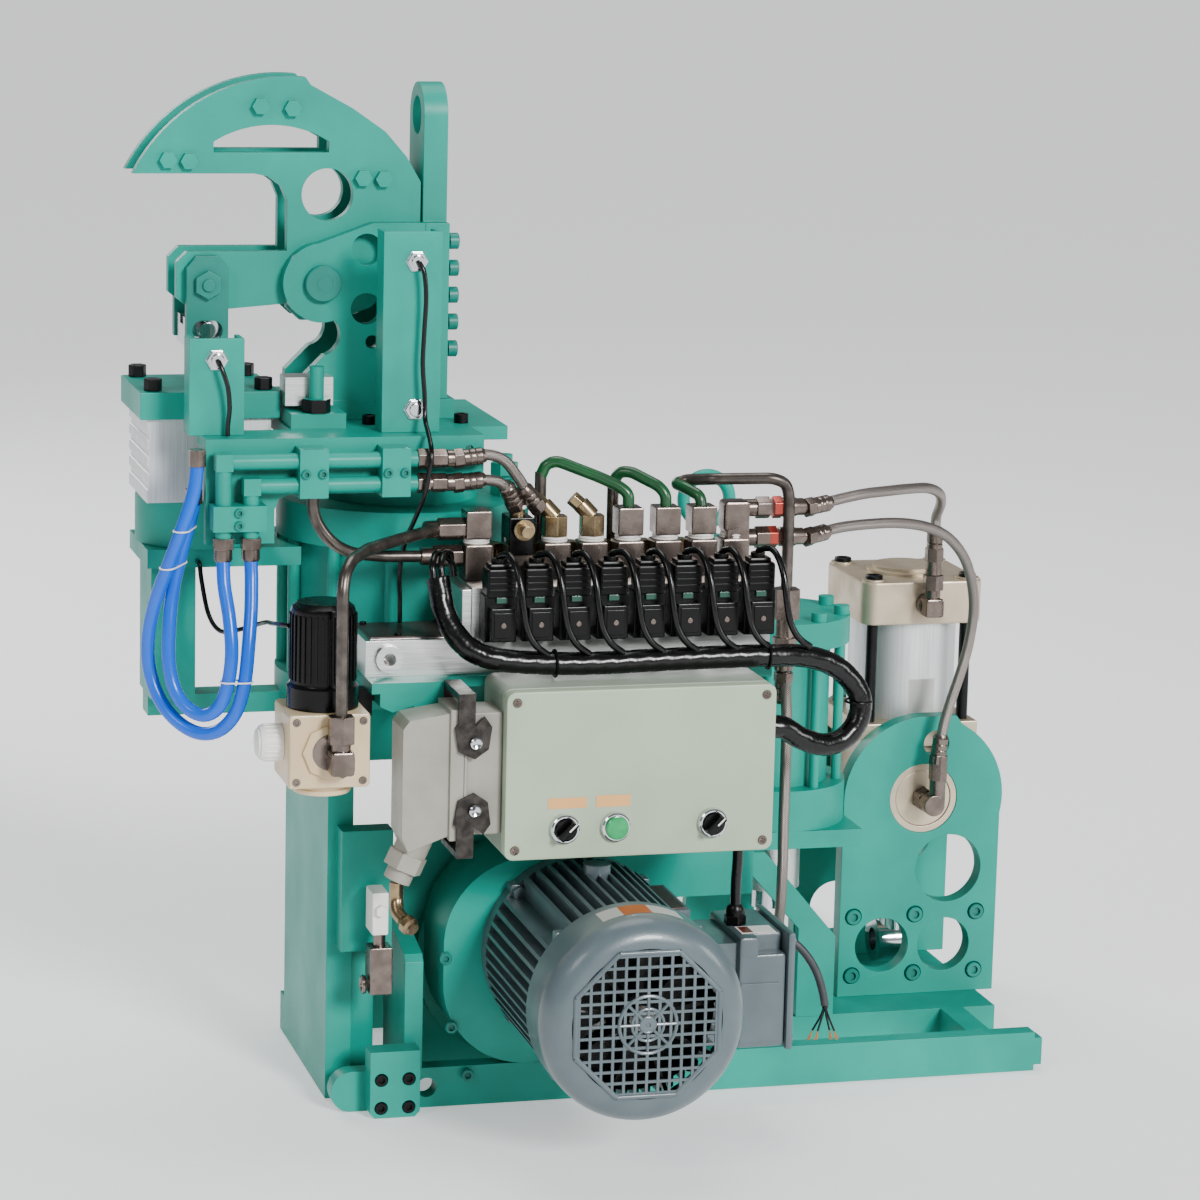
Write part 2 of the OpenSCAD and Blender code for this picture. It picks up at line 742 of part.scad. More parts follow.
// Manifold
module manifold_support() {
    color(teal) {
        block([bar_x[0], -190], [-100, bar_y[1]], [424, 434]);
        block([-190, bar_x[1]], [-79.6, bar_y[1]], [424, 434]);
        block([-286, bar_x[0]], [-20, 38], [424, 434]);
        block([60, 90], [bar_y[1], 60], [424, 434]);
        slab_xz([-100, bar_y[1]]) polygon([[-260, 424 - joint], [-190, 424 - joint], [-190, 412],
            [-212, 412], [-212, 386], [-228, 386], [-228, 412], [-248, 406], [-260, 412]]);
        block([-286, -266], [26, 38], [table_top, 424 - joint]);
        block([60, 90], [25, 60], [table_top, 424 - joint]);
    }
    // filter bracket
    color(black) {
        block([-337, -262], [-73.6, -66], [398, 424 - joint]);
        block([-300, -260 - joint], [-73.6, -60], [412, 424 - joint]);
    }
}

module manifold_bar() {
    color("#DADCD8") difference() {
        union() {
            block(bar_x, bar_y, bar_z);
            along_y(bar_x[0] + 22, 451, [bar_y[0] - 6, bar_y[0]], 13);
        }
        along_y(bar_x[0] + 22, 451, [bar_y[0] - 7, bar_y[0] + 12], 6);
        along_x(-14, 451, [bar_x[0] - 1, bar_x[0] + 20], 9);
    }
    color("#4A3A3A") block([-262, -177], [-62, 8], [bar_z[1], bar_z[1] + 2]);
}

module valve_block() {
    color(alu) block([-167, 128], [bar_y[0], bar_y[1]], [bar_z[1], block_top]);
    color(black) block([-176, -167], [bar_y[0] + 2, bar_y[1] - 2], [bar_z[1], block_top - 2]);
}

module solenoid_valves() {
    color(black) for (i = [0:valve_count - 1]) let (x = valve_x0 + i * valve_pitch) {
        block([x - 15.5, x + 15.5], [-92, bar_y[0] - 0.1], [bar_z[1], 538]);
        block([x - 12, x + 12], [-103, -92], [bar_z[1] + 2, bar_z[1] + 34]);
        along_z(x, -80, [538, 545], 7);
    }
}

// Fitting stack on one outlet: block, sealing ring and upper piece
module outlet(x, round_top) {
    w = 14;
    color(steel) {
        block([x - w, x + w], [fitting_y - w, fitting_y + w], block_z);
        if (round_top) along_z(x, fitting_y, upper_z, 13.5, 6);
        else block([x - 12, x + 12], [fitting_y - 12, fitting_y + 12], upper_z);
    }
    color("#E9E8E4") along_z(x, fitting_y, [block_z[1], upper_z[0]], 9);
}

module port_fittings() {
    for (i = [0:7]) outlet(fitting_x[i], i == 2 || i == 3);
    color(steel) {
        // elbows at the right end, one for each braided hose
        along_x(fitting_y, 578, [fitting_x[7] + 12, 150], 10);
        along_x(fitting_y, 578, [150, 182], 10.5, 6);
        along_x(fitting_y, 549, [fitting_x[7] + 14, 150], 10);
        along_x(fitting_y, 549, [150, 182], 10.5, 6);
        // fitting stack for the drop hose
        along_z(155, -30, [436, 470], 11, 6);
        along_z(155, -30, [470, 500], 14, 6);
        // fitting in the trunnion
        along_y(lift_x, trunnion_z, [142, 159], 13, 6);
        along_y(lift_x, trunnion_z, [120, 142], 11);
        along_z(lift_x + 5, 131, [trunnion_z, 264], 8);
        along_z(lift_x + 5, 131, [264, 288], 9.5, 6);
        // filter elbow
        along_y(filter_port_x, 376, [-179, -154], 13);
        along_z(filter_port_x, -166, [376, 392], 10);
        along_z(filter_port_x, -166, [392, 420], 13, 6);
        // nut on the tube that enters the block from the left
        along_x(fitting_y, 538, [-194, -166], 10, 6);
        along_x(fitting_y, 564, [-190, -164], 10, 6);
        // pipe ends behind the plate's left edge
        along_z(-421, -32, [630, 646], 9);
        along_z(-421, -12, [592, 606], 9);
        // hose ends on the plate pipes
        for (z = [634, 611]) along_x(-35, z, [-214, -170], 8.5, 6);
        for (x = [-397, -371]) along_z(x, -35, [545, 560], 10.5, 6);
        // gland elbow under the connector
        along_z(-250, -132, [222, 250], 9);
    }
}

module needle_knob() {
    color(black) {
        along_y(fitting_x[1], 566, [-50, fitting_y - 12 - gap], 7);
        along_y(fitting_x[1], 566, [-62, -50], 10);
    }
}

tube_routes = [
    [[-3, -20, 578], [-3, -20, 594], [-12, -16, 601], [-30, -9, 609], [-68, 4, 623],
        [-78, 7, 620], [-83, 8, 608], [-83, 8, 516.1]],
    [[34, -20, 578], [34, -20, 592], [28, -16, 600], [4, 0, 612], [-6, 6, 611],
        [-11, 8, 600], [-11, 8, 516.1]],
    [[70, -20, 578], [69, -18, 590], [58, -4, 596], [52, 8, 598], [62, 6, 602],
        [84, -16, 606], [138, -30, 608], [151, -30, 603], [155, -30, 590], [155, -30, 499]],
    [[-311, -26, 599], [-311, -26, 588], [-308, -26, 576], [-300, -25, 563], [-288, -24, 551], [-272, -22, 543],
        [-240, -20, 539], [-192, -20, 538]],
    [[-188, -20, 564], [-200, -30, 564], [-236, -64, 563], [-276, -110, 563],
        [-298, -146, 560], [-307, -160, 550], [-310, -166, 534], [-310, -166, 418]]
];

module steel_tubes() {
    color("#5E5955") for (r = tube_routes) swept(r, tube_d, 12);
}

// Hose plate with its pipes
module hose_plate() {
    x0 = hose_plate_x[0];
    x1 = hose_plate_x[1];
    pipe_r = 7.5;
    color(teal) {
        difference() {
            slab_xz(hose_plate_y) polygon([[x0, 554], [x0, 653], [x1, 653], [x1, 600],
                [x0 + 79, 600], [x0 + 69, 596], [x0 + 65, 586], [x0 + 65, 554]]);
            along_y(x1 - 14, 640, [hose_plate_y[0] - 1, hose_plate_y[1] + 1], 4);
        }
        block([x0, x1], [hose_plate_y[1], flange_back], [643, 653]);
        // pipes
        along_x(-35, 634, [-390, -214], pipe_r);
        along_x(-35, 611, [-364, -214], pipe_r);
        along_z(-397, -35, [560, 628], pipe_r);
        along_z(-371, -35, [560, 605], pipe_r);
        block([-405, -389], [-43, -27], [626, 642]);
        block([-379, -363], [-43, -27], [603, 619]);
        // clamps
        for (x = [-327, -249]) block([x, x + 27], [-46, hose_plate_y[0]], [600, 646]);
        block([-408, -358], [-46, hose_plate_y[0]], [570, 594]);
    }
}

// Head
module drum_housing() {
    x = drum_c[0];
    y = drum_c[1];
    foot = drum_z[0] + 22;
    bore_r = drum_r - 21;
    color(teal) {
        difference() {
            along_z(x, y, [drum_z[0], foot], drum_r + 4);
            along_z(x, y, [drum_z[0] - 1, foot + 1], 20 + run);
        }
        difference() {
            along_z(x, y, [foot + joint, drum_z[1]], drum_r - 9);
            along_z(x, y, [foot, foot + 9], 20 + run);
            along_z(x, y, [foot + 8, drum_z[1] + 1], bore_r);
        }
        difference() {
            union() {
                along_z(x, y, [drum_z[1] + joint, drum_z[2]], drum_r + 4);
                block([x + 70, x + 122], [y - 42, y + 10], [drum_z[1] + joint, drum_z[2]]);
            }
            along_z(x, y, [drum_z[1] - 1, drum_z[1] + 14], bore_r);
        }
        along_z(x, y, [drum_z[2] + joint, plate_z[0] - joint], 78);
        block([-322, -110], [flange_back, 214], plate_z);
        for (a = [15:30:345])
            along_z(x + (drum_r - 3) * cos(a), y + (drum_r - 3) * sin(a),
                [foot + joint, drum_z[1]], 5.9);
    }
    // stud and nuts on the flange ear
    color(teal) {
        along_z(x + 102, y - 22, [drum_z[2] + joint, drum_z[2] + 40], 8);
        hex_nut_z(x + 102, y - 22, drum_z[2] + 0.2, 24, 16, 8.1);
        hex_nut_z(x + 102, y - 22, drum_z[2] + 20, 24, 12, 8.1);
    }
    // clamp bar with its lug and stud
    color(teal) block([-320, -267], [38, 88], [plate_z[1], plate_z[1] + 14]);
    color(alu) block([-322, -276], [58, 88], [plate_z[1] + 19, plate_z[1] + 46]);
    color(black) {
        along_z(-294, 48, [plate_z[1] + 14, plate_z[1] + 58], 7);
        hex_nut_z(-294, 48, plate_z[1] + 14.2, 24, 13, 7.1);
    }
}

module drum_piston() {
    x = drum_c[0];
    y = drum_c[1];
    color("#C7CBCE") {
        along_z(x, y, [500, 530], drum_r - 21 - 0.1);
        along_z(x, y, [330, 500], 20);
    }
}

module cheek_outline() {
    translate([jaw_x, jaw_z]) circle(r = 38);
    difference() {
        polygon([[jaw_x, jaw_z - 38], [-266, 740], [-266, 728], [-302, 692], [-302, 672],
            [-181, 672], [-181, 842], [-232, 842], [jaw_x - 4, jaw_z + 37.8]]);
        translate([jaw_x - 2, 735]) circle(r = 20);
    }
}

module cheek_plates() {
    color(teal) for (y = [[cheek_y[0], jaw_y[0] - gap], [jaw_y[1] + gap, cheek_y[1]]])
        difference() {
            slab_xz(y) cheek_outline();
            along_y(jaw_x, jaw_z, [y[0] - 1, y[1] + 1], pivot_r + 0.1);
            along_y(-238, 817, [y[0] - 1, y[1] + 1], 15);
            along_y(-238, 760, [y[0] - 1, y[1] + 1], 15);
            along_y(-232, 728, [y[0] - 1, y[1] + 1], 6.4);
        }
    // foot under the cheeks
    color(teal) block([-318, -150], [cheek_y[0] - 1, cheek_y[1] + 8], [plate_z[1], 672]);
}

module pivot_pin() {
    color(steel) {
        along_y(jaw_x, jaw_z, [cheek_y[0] - 2, cheek_y[1] + 4], pivot_r);
        along_y(jaw_x, jaw_z, [cheek_y[0] - 7, cheek_y[0] - 1], pivot_r + 4);
    }
}

// Curved hook of the jaw: ring piece, throat and lever in one outline
module jaw_outline() {
    lever_top = lever_z + 30;
    lever_low = lever_z - 25;
    difference() {
        union() {
            intersection() {
                translate([-311, 812]) circle(r = 168, $fn = 96);
                polygon([[-480, 888], [-470, 905], [-420, 1000], [-311, 1000], [-291, 972],
                    [-250, 950], [-218, 928], [-197, 904], [-183, 880], [-183, 832],
                    [-313, 832], [-313, 862], [-319, 876], [-331, 885], [-345, 888]]);
            }
            polygon([[-313, 840], [-183, 840], [-183, 812], [-230, 760], [-262, 748],
                [-300, 748], [-313, 760]]);
            polygon([[-300, lever_low + 6], [-300, lever_top], [lever_x - 18, lever_top],
                [lever_x - 28, lever_top - 10], [lever_x - 28, lever_z - 14],
                [lever_x - 14, lever_low], [lever_x + 20, lever_low]]);
        }
        translate([-274, 868]) circle(r = 25);
        // long window
        intersection() {
            translate([-328, 828]) circle(r = 106, $fn = 96);
            translate([-384, 908]) square([111, 40]);
        }
    }
}

module jaw_plates() {
    ties = [[-340, 952], [-309, 950], [-428, 901], [-408, 900], [-240, 884], [-220, 883]];
    color(teal) for (y = [[jaw_y[0], jaw_y[0] + jaw_t], [jaw_y[1] - jaw_t, jaw_y[1]]])
        difference() {
            slab_xz(y) jaw_outline();
            along_y(jaw_x, jaw_z, [y[0] - 1, y[1] + 1], pivot_r + run);
            along_y(lever_x, lever_z, [y[0] - 1, y[1] + 1], 10 + run);
        }
    // spacers and nuts between and on the plates
    color(dark_teal) for (p = ties) {
        along_y(p[0], p[1], [jaw_y[0] + jaw_t, jaw_y[1] - jaw_t], 8);
        along_y(p[0], p[1], [jaw_y[0] - 7, jaw_y[0]], 8.5, 6);
        along_y(p[0], p[1], [jaw_y[1], jaw_y[1] + 7], 8.5, 6);
    }
}

module link_plates() {
    w = 20;
    color(teal) for (y = [[93, jaw_y[0] - gap], [jaw_y[1] + gap, 179]]) difference() {
        slab_xz(y) polygon([[lever_x - w, rod_pin_z - 14], [lever_x - w, lever_z + 16],
            [lever_x - 10, lever_z + 27], [lever_x + 10, lever_z + 27],
            [lever_x + w, lever_z + 16], [lever_x + w, rod_pin_z - 14]]);
        // slotted eye for the rod pin
        for (dx = [-5, 0, 5]) along_y(lever_x + dx, rod_pin_z, [y[0] - 1, y[1] + 1], 9.5);
    }
    color(steel) along_y(lever_x, lever_z, [89, 183], 10);
}

module jaw_rod() {
    color("#57504C") {
        along_y(lever_x, rod_pin_z, [91, 181], 8);
        difference() {
            block([lever_x - 18, lever_x + 18], [jaw_y[0] + 1, jaw_y[1] - 1],
                [rod_pin_z - 18, rod_pin_z + 10]);
            block([lever_x - 19, lever_x + 19], [jaw_mid - 10, jaw_mid + 10],
                [rod_pin_z + 2, rod_pin_z + 11]);
        }
    }
    color("#C7CBCE") {
        along_z(lever_x, jaw_mid, [630, rod_pin_z - 18], 11);
        along_z(lever_x, jaw_mid, [612, 630], 44 - run);
    }
}

module jaw_cylinder() {
    // heads
    color(teal) {
        difference() {
            block(cyl_x, cyl_y, [cyl_z[2] + joint, cyl_z[3]]);
            along_z(lever_x, jaw_mid, [cyl_z[2] - 1, cyl_z[3] + 1], 11 + run);
        }
        along_z(lever_x, jaw_mid, [cyl_z[0], cyl_z[1] - joint], 62);
    }
    color("#DADCDC") difference() {
        block([-451, -331], [cyl_y[0] + 7, cyl_y[1] - 7], [cyl_z[1], cyl_z[2]]);
        along_z(lever_x, jaw_mid, [cyl_z[1] - 1, cyl_z[2] + 1], 44);
        for (z = [590, 606, 622, 638])
            block([-452, -449], [cyl_y[0], cyl_y[1]], [z, z + 6]);
    }
    // nuts on top
    color(black) for (x = [-444, -338], y = [cyl_y[0] + 14, cyl_y[1] - 14])
        along_z(x, y, [cyl_z[3] + 0.1, cyl_z[3] + 12], 9, 6);
}

module sensor_channel(x, z1) {
    y = [4, flange_back];
    z = [plate_z[1], z1];
    color(teal) {
        block(x, [y[0], y[0] + 5], z);
        block([x[0], x[0] + 5], [y[0] + 5, y[1]], z);
        block([x[1] - 5, x[1]], [y[0] + 5, y[1]], z);
    }
}

module sensor(x, z) {
    color("#C8CCCC") {
        along_y(x, z, [4 - 4, 4], 10, 6);
        along_y(x, z, [-2, 30], 6);
    }
}

module sensor_brackets() {
    sensor_channel([-423, -371], 744);
    sensor_channel([-240, -184], 843);
    sensor(-397, 724);
    sensor(-208, 815);
    sensor(-208, 675);
}

module lifting_lug() {
    round_z = 942;
    mid = 136;
    color(teal) difference() {
        slab_yz([-181, -157]) {
            translate([mid, round_z]) circle(r = 32);
            translate([mid - 32, 842]) square([64, round_z - 842]);
            translate([cheek_y[0], 672]) square([cheek_y[1] - cheek_y[0], 170]);
        }
        along_x(mid, round_z, [-182, -156], 18.5);
    }
}

module eyebolt() {
    x = 129;
    y = 160;
    color(teal) {
        translate([x, y, 556]) rotate([90, 0, 0]) rotate_extrude($fn = 64)
            translate([24, 0]) circle(r = 6.5, $fn = 24);
        along_z(x, y, [518, 530], 9);
        along_z(x, y, [512, 519], 17);
    }
}

// Stroke cylinder
module stroke_cylinder() {
    x = stroke_c[0];
    y = stroke_c[1];
    z = stroke_z;
    bore_r = 46;
    color(teal) {
        difference() {
            along_z(x, y, [z[0], z[1]], stroke_flange_r);
            along_z(x, y, [z[0] - 1, z[1]], 18 + run);
            along_z(x, y, [z[0] + 24, z[1] + 1], bore_r);
        }
        difference() {
            along_z(x, y, [z[1] + joint, z[2]], 56);
            along_z(x, y, [z[1] - 1, z[2] + 1], bore_r);
        }
        difference() {
            along_z(x, y, [z[2] + joint, z[3]], stroke_flange_r);
            along_z(x, y, [z[2] - 1, z[2] + 10], bore_r);
        }
        for (a = [22.5:45:337.5]) {
            along_z(x + 66 * cos(a), y + 66 * sin(a), [z[1] + joint, z[2]], 5);
            along_z(x + 66 * cos(a), y + 66 * sin(a), [z[3] + joint, z[3] + 9], 8);
        }
    }
    color(alu) difference() {
        along_z(x, y, [150, z[0] - joint], 32);
        along_z(x, y, [149, z[0] + 1], 18 + run);
    }
}

module stroke_rod() {
    x = stroke_c[0];
    y = stroke_c[1];
    color("#D5D8DA") {
        along_z(x, y, [300, 326], 46 - 0.1);
        along_z(x, y, [128, 300], 18);
    }
}

// Hoses and cables
module blue_hose_outer() {
    color("#1E7FF0") swept(blue_outer_route, blue_d);
}

module blue_hose_inner() {
    color("#1E7FF0") swept(blue_inner_route, blue_d);
}

module head_hose() {
    color("#7D7570") swept(head_hose_route, braid_d);
}

module trunnion_hose() {
    color("#7D7570") swept(trunnion_hose_route, braid_d);
}

module left_hose_upper() {
    color("#7D7570") swept(left_upper_route, braid_d);
}

module left_hose_lower() {
    color("#7D7570") swept(left_lower_route, braid_d);
}

module drop_hose() {
    color("#7D7570") swept(drop_route, braid_d);
}

module valve_loom() {
    color(black) swept(loom_route, loom_d);
}

module motor_supply_cable() {
    color(black) swept(supply_route, 10);
}

module motor_tail_cable() {
    color("#6B6F72") swept(tail_route, 8);
}

module sensor_cables() {
    color(black) {
        swept(left_sensor_route, 4.5);
        swept(right_sensor_route, 4.5);
        swept(filter_cable_route, 4.5);
    }
}

base_frame();
table_plate();
trunnion_plates();
socket_screws();
lift_cylinder_head();
lift_cylinder_tube();
lift_cylinder_block();
lift_piston_rod();
motor_housing();
motor_stator();
motor_rotor();
cooling_fan();
fan_cover();
terminal_box();
gear_case();
drive_pinion();
driven_gear();
control_box_body();
control_box_lid();
selector_left();
selector_right();
push_button();
connector_hood();
latch_upper();
latch_lower();
filter_body();
filter_cap();
filter_side_knob();
manifold_support();
manifold_bar();
valve_block();
solenoid_valves();
port_fittings();
needle_knob();
steel_tubes();
hose_plate();
drum_housing();
drum_piston();
cheek_plates();
pivot_pin();
jaw_plates();
link_plates();
jaw_rod();
jaw_cylinder();
sensor_brackets();
lifting_lug();
eyebolt();
stroke_cylinder();
stroke_rod();
blue_hose_outer();
blue_hose_inner();
head_hose();
trunnion_hose();
left_hose_upper();
left_hose_lower();
drop_hose();
valve_loom();
motor_supply_cable();
motor_tail_cable();
sensor_cables();
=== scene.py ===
"""Looks of an electro-hydraulic power and actuation head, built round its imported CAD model."""

import math

import bmesh
import bpy
from bpy.props import FloatProperty, FloatVectorProperty, IntProperty, PointerProperty
from mathutils import Matrix, Vector


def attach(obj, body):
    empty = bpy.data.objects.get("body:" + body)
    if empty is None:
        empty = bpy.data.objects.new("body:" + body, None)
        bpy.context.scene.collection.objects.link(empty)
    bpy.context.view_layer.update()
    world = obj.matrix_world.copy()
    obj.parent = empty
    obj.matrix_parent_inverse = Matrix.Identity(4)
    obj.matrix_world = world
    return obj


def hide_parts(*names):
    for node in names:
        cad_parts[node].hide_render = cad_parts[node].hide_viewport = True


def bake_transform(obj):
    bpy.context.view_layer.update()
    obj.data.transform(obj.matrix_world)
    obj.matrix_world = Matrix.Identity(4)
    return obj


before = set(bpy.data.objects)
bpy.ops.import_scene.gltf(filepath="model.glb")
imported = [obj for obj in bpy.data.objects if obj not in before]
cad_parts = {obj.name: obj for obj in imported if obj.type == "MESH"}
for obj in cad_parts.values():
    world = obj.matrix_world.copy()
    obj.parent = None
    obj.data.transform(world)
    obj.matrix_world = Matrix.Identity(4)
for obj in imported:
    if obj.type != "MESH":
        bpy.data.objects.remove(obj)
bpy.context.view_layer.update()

bl_info = {
    "name": "Hydraulic Power Unit",
    "version": (1, 0, 0),
    "blender": (4, 5, 0),
    "location": "View3D > Sidebar > Power Unit",
    "description": "Builds the visible pieces of a hydraulic power unit round its CAD frame",
    "category": "Object",
}

MM = 0.001
# two faces that meet at more than this angle have a hard edge
SHARP = math.radians(32)

# camera: place in metres, angles in degrees, focal length on a sensor 36 mm wide
CAMERA_PLACE = (-1.028, -3.667, 1.227)
CAMERA_TURN = 15.32
CAMERA_TILT = 11.01
CAMERA_ROLL = 1.4
CAMERA_LENS = 120.55
SENSOR_WIDTH = 36

# centres and spacings that several pieces share, in mm
MOTOR_X = -53
MOTOR_Z = 156
VALVE_COUNT = 8
VALVE_FIRST_X = -144.3
VALVE_PITCH = 36.2
OPERATOR_Z = 306.5

# outside diameters of hoses and cables, in mm
AIR_TUBE = 13
BRAIDED_HOSE = 10.6
VALVE_LEAD = 6.4
SENSOR_LEAD = 4.5
HARD_TUBE = 11.4


# Colour and node helpers


def linear(code):
    """Linear colour of an sRGB hex code."""
    parts = [int(code[i : i + 2], 16) / 255 for i in (1, 3, 5)]
    return [c / 12.92 if c <= 0.04045 else ((c + 0.055) / 1.055) ** 2.4 for c in parts] + [1.0]


def add(tree, kind, inputs=(), **settings):
    """Adds one node with its settings; inputs maps a socket to a value or to another socket."""
    made = tree.nodes.new(kind)
    for name, value in settings.items():
        setattr(made, name, value)
    for socket, value in dict(inputs).items():
        if isinstance(value, bpy.types.NodeSocket):
            tree.links.new(value, made.inputs[socket])
        else:
            made.inputs[socket].default_value = value
    return made


def start(name, **values):
    """A new material with its shader, whose even values are set on the shader's own sockets."""
    made = bpy.data.materials.new(name)
    made.use_nodes = True
    tree = made.node_tree
    tree.nodes.clear()
    shader = add(tree, "ShaderNodeBsdfPrincipled", values)
    out = add(tree, "ShaderNodeOutputMaterial")
    tree.links.new(shader.outputs["BSDF"], out.inputs["Surface"])
    return made, tree, shader


def two_tone(tree, factor, low, high, spread=(0.35, 0.65)):
    """Colour ramp from one hex colour to another, driven by a pattern."""
    ramp = add(tree, "ShaderNodeValToRGB", {"Fac": factor})
    ramp.color_ramp.elements[0].position = spread[0]
    ramp.color_ramp.elements[1].position = spread[1]
    ramp.color_ramp.elements[0].color = linear(low)
    ramp.color_ramp.elements[1].color = linear(high)
    return ramp.outputs["Color"]


def per_metre(size_mm):
    """Noise scale that gives a pattern of this size."""
    return 1000 / size_mm


def coated(name, base, worn, patch_mm, grain_mm, rough, bump, metallic=0.0, coat=0.0,
           shine=0.5):
    """Surface with broad patches of tone, a fine grain in its relief and a little uneven gloss."""
    made, tree, shader = start(name, Metallic=metallic, **{"Coat Weight": coat,
                                                           "Specular IOR Level": shine})
    place = add(tree, "ShaderNodeTexCoord").outputs["Object"]
    patches = add(tree, "ShaderNodeTexNoise",
                  {"Vector": place, "Scale": per_metre(patch_mm), "Detail": 4.0})
    grain = add(tree, "ShaderNodeTexNoise",
                {"Vector": place, "Scale": per_metre(grain_mm), "Detail": 2.0})
    tree.links.new(two_tone(tree, patches.outputs["Fac"], worn, base), shader.inputs["Base Color"])
    gloss = add(tree, "ShaderNodeMapRange", {"Value": patches.outputs["Fac"], "From Min": 0.3,
                "From Max": 0.7, "To Min": rough + 0.07, "To Max": rough - 0.05})
    tree.links.new(gloss.outputs["Result"], shader.inputs["Roughness"])
    relief = add(tree, "ShaderNodeBump", {"Height": grain.outputs["Fac"], "Strength": bump,
                 "Distance": 0.0004})
    tree.links.new(relief.outputs["Normal"], shader.inputs["Normal"])
    return made


def brushed(name, base, dark, line_mm, along, rough, bump=0.12):
    """Metal with fine tool lines along one axis."""
    made, tree, shader = start(name, Metallic=1.0)
    place = add(tree, "ShaderNodeTexCoord").outputs["Object"]
    stretch = [per_metre(line_mm)] * 3
    stretch[along] = per_metre(line_mm * 60)
    mapped = add(tree, "ShaderNodeMapping", {"Vector": place, "Scale": stretch})
    lines = add(tree, "ShaderNodeTexNoise", {"Vector": mapped.outputs["Vector"], "Scale": 1.0,
                "Detail": 3.0})
    tree.links.new(two_tone(tree, lines.outputs["Fac"], dark, base, (0.3, 0.62)),
                   shader.inputs["Base Color"])
    gloss = add(tree, "ShaderNodeMapRange", {"Value": lines.outputs["Fac"], "From Min": 0.3,
                "From Max": 0.7, "To Min": rough + 0.1, "To Max": rough - 0.05})
    tree.links.new(gloss.outputs["Result"], shader.inputs["Roughness"])
    relief = add(tree, "ShaderNodeBump", {"Height": lines.outputs["Fac"], "Strength": bump,
                 "Distance": 0.0002})
    tree.links.new(relief.outputs["Normal"], shader.inputs["Normal"])
    return made


def braided_wire():
    """Stainless wire braid: two sets of fine slanting wires give a grey, sparkling weave."""
    made, tree, shader = start("stainless_wire_braid", Metallic=1.0)
    uv = add(tree, "ShaderNodeUVMap", uv_map="along").outputs["UV"]
    split = add(tree, "ShaderNodeSeparateXYZ", {"Vector": uv})
    waves = []
    for turn in (1.0, -1.0):
        around = add(tree, "ShaderNodeMath", {0: split.outputs["X"], 1: 12.0 * turn},
                     operation="MULTIPLY")
        slant = add(tree, "ShaderNodeMath", {0: split.outputs["Y"], 1: 5.0, 2: around.outputs[0]},
                    operation="MULTIPLY_ADD")
        phase = add(tree, "ShaderNodeMath", {0: slant.outputs[0], 1: math.tau},
                    operation="MULTIPLY")
        waves.append(add(tree, "ShaderNodeMath", {0: phase.outputs[0]}, operation="SINE"))
    weave = add(tree, "ShaderNodeMath", {0: waves[0].outputs[0], 1: waves[1].outputs[0]},
                operation="MAXIMUM")
    shade = add(tree, "ShaderNodeMapRange", {"Value": weave.outputs[0], "From Min": -0.6,
                "From Max": 1.0, "To Min": 0.0, "To Max": 1.0})
    tree.links.new(two_tone(tree, shade.outputs["Result"], "#3B3634", "#A39A94", (0.1, 0.8)),
                   shader.inputs["Base Color"])
    shader.inputs["Roughness"].default_value = 0.36
    relief = add(tree, "ShaderNodeBump", {"Height": shade.outputs["Result"], "Strength": 0.6,
                 "Distance": 0.0006})
    tree.links.new(relief.outputs["Normal"], shader.inputs["Normal"])
    return made


def blue_tube():
    """Extruded polyurethane air tube: bright blue, slightly clear, with a soft gloss."""
    made, tree, shader = start("extruded_polyurethane_blue", IOR=1.5, Roughness=0.22,
                               **{"Specular IOR Level": 0.4})
    place = add(tree, "ShaderNodeTexCoord").outputs["Object"]
    flow = add(tree, "ShaderNodeTexNoise", {"Vector": place, "Scale": per_metre(60)})
    tree.links.new(two_tone(tree, flow.outputs["Fac"], "#0059CF", "#0060DA"),
                   shader.inputs["Base Color"])
    return made


def solid_colour(name, code, rough, **values):
    """Even moulded surface with a fine grain, for small trim."""
    return coated(name, code, code, 20, 0.8, rough, 0.15, **values)


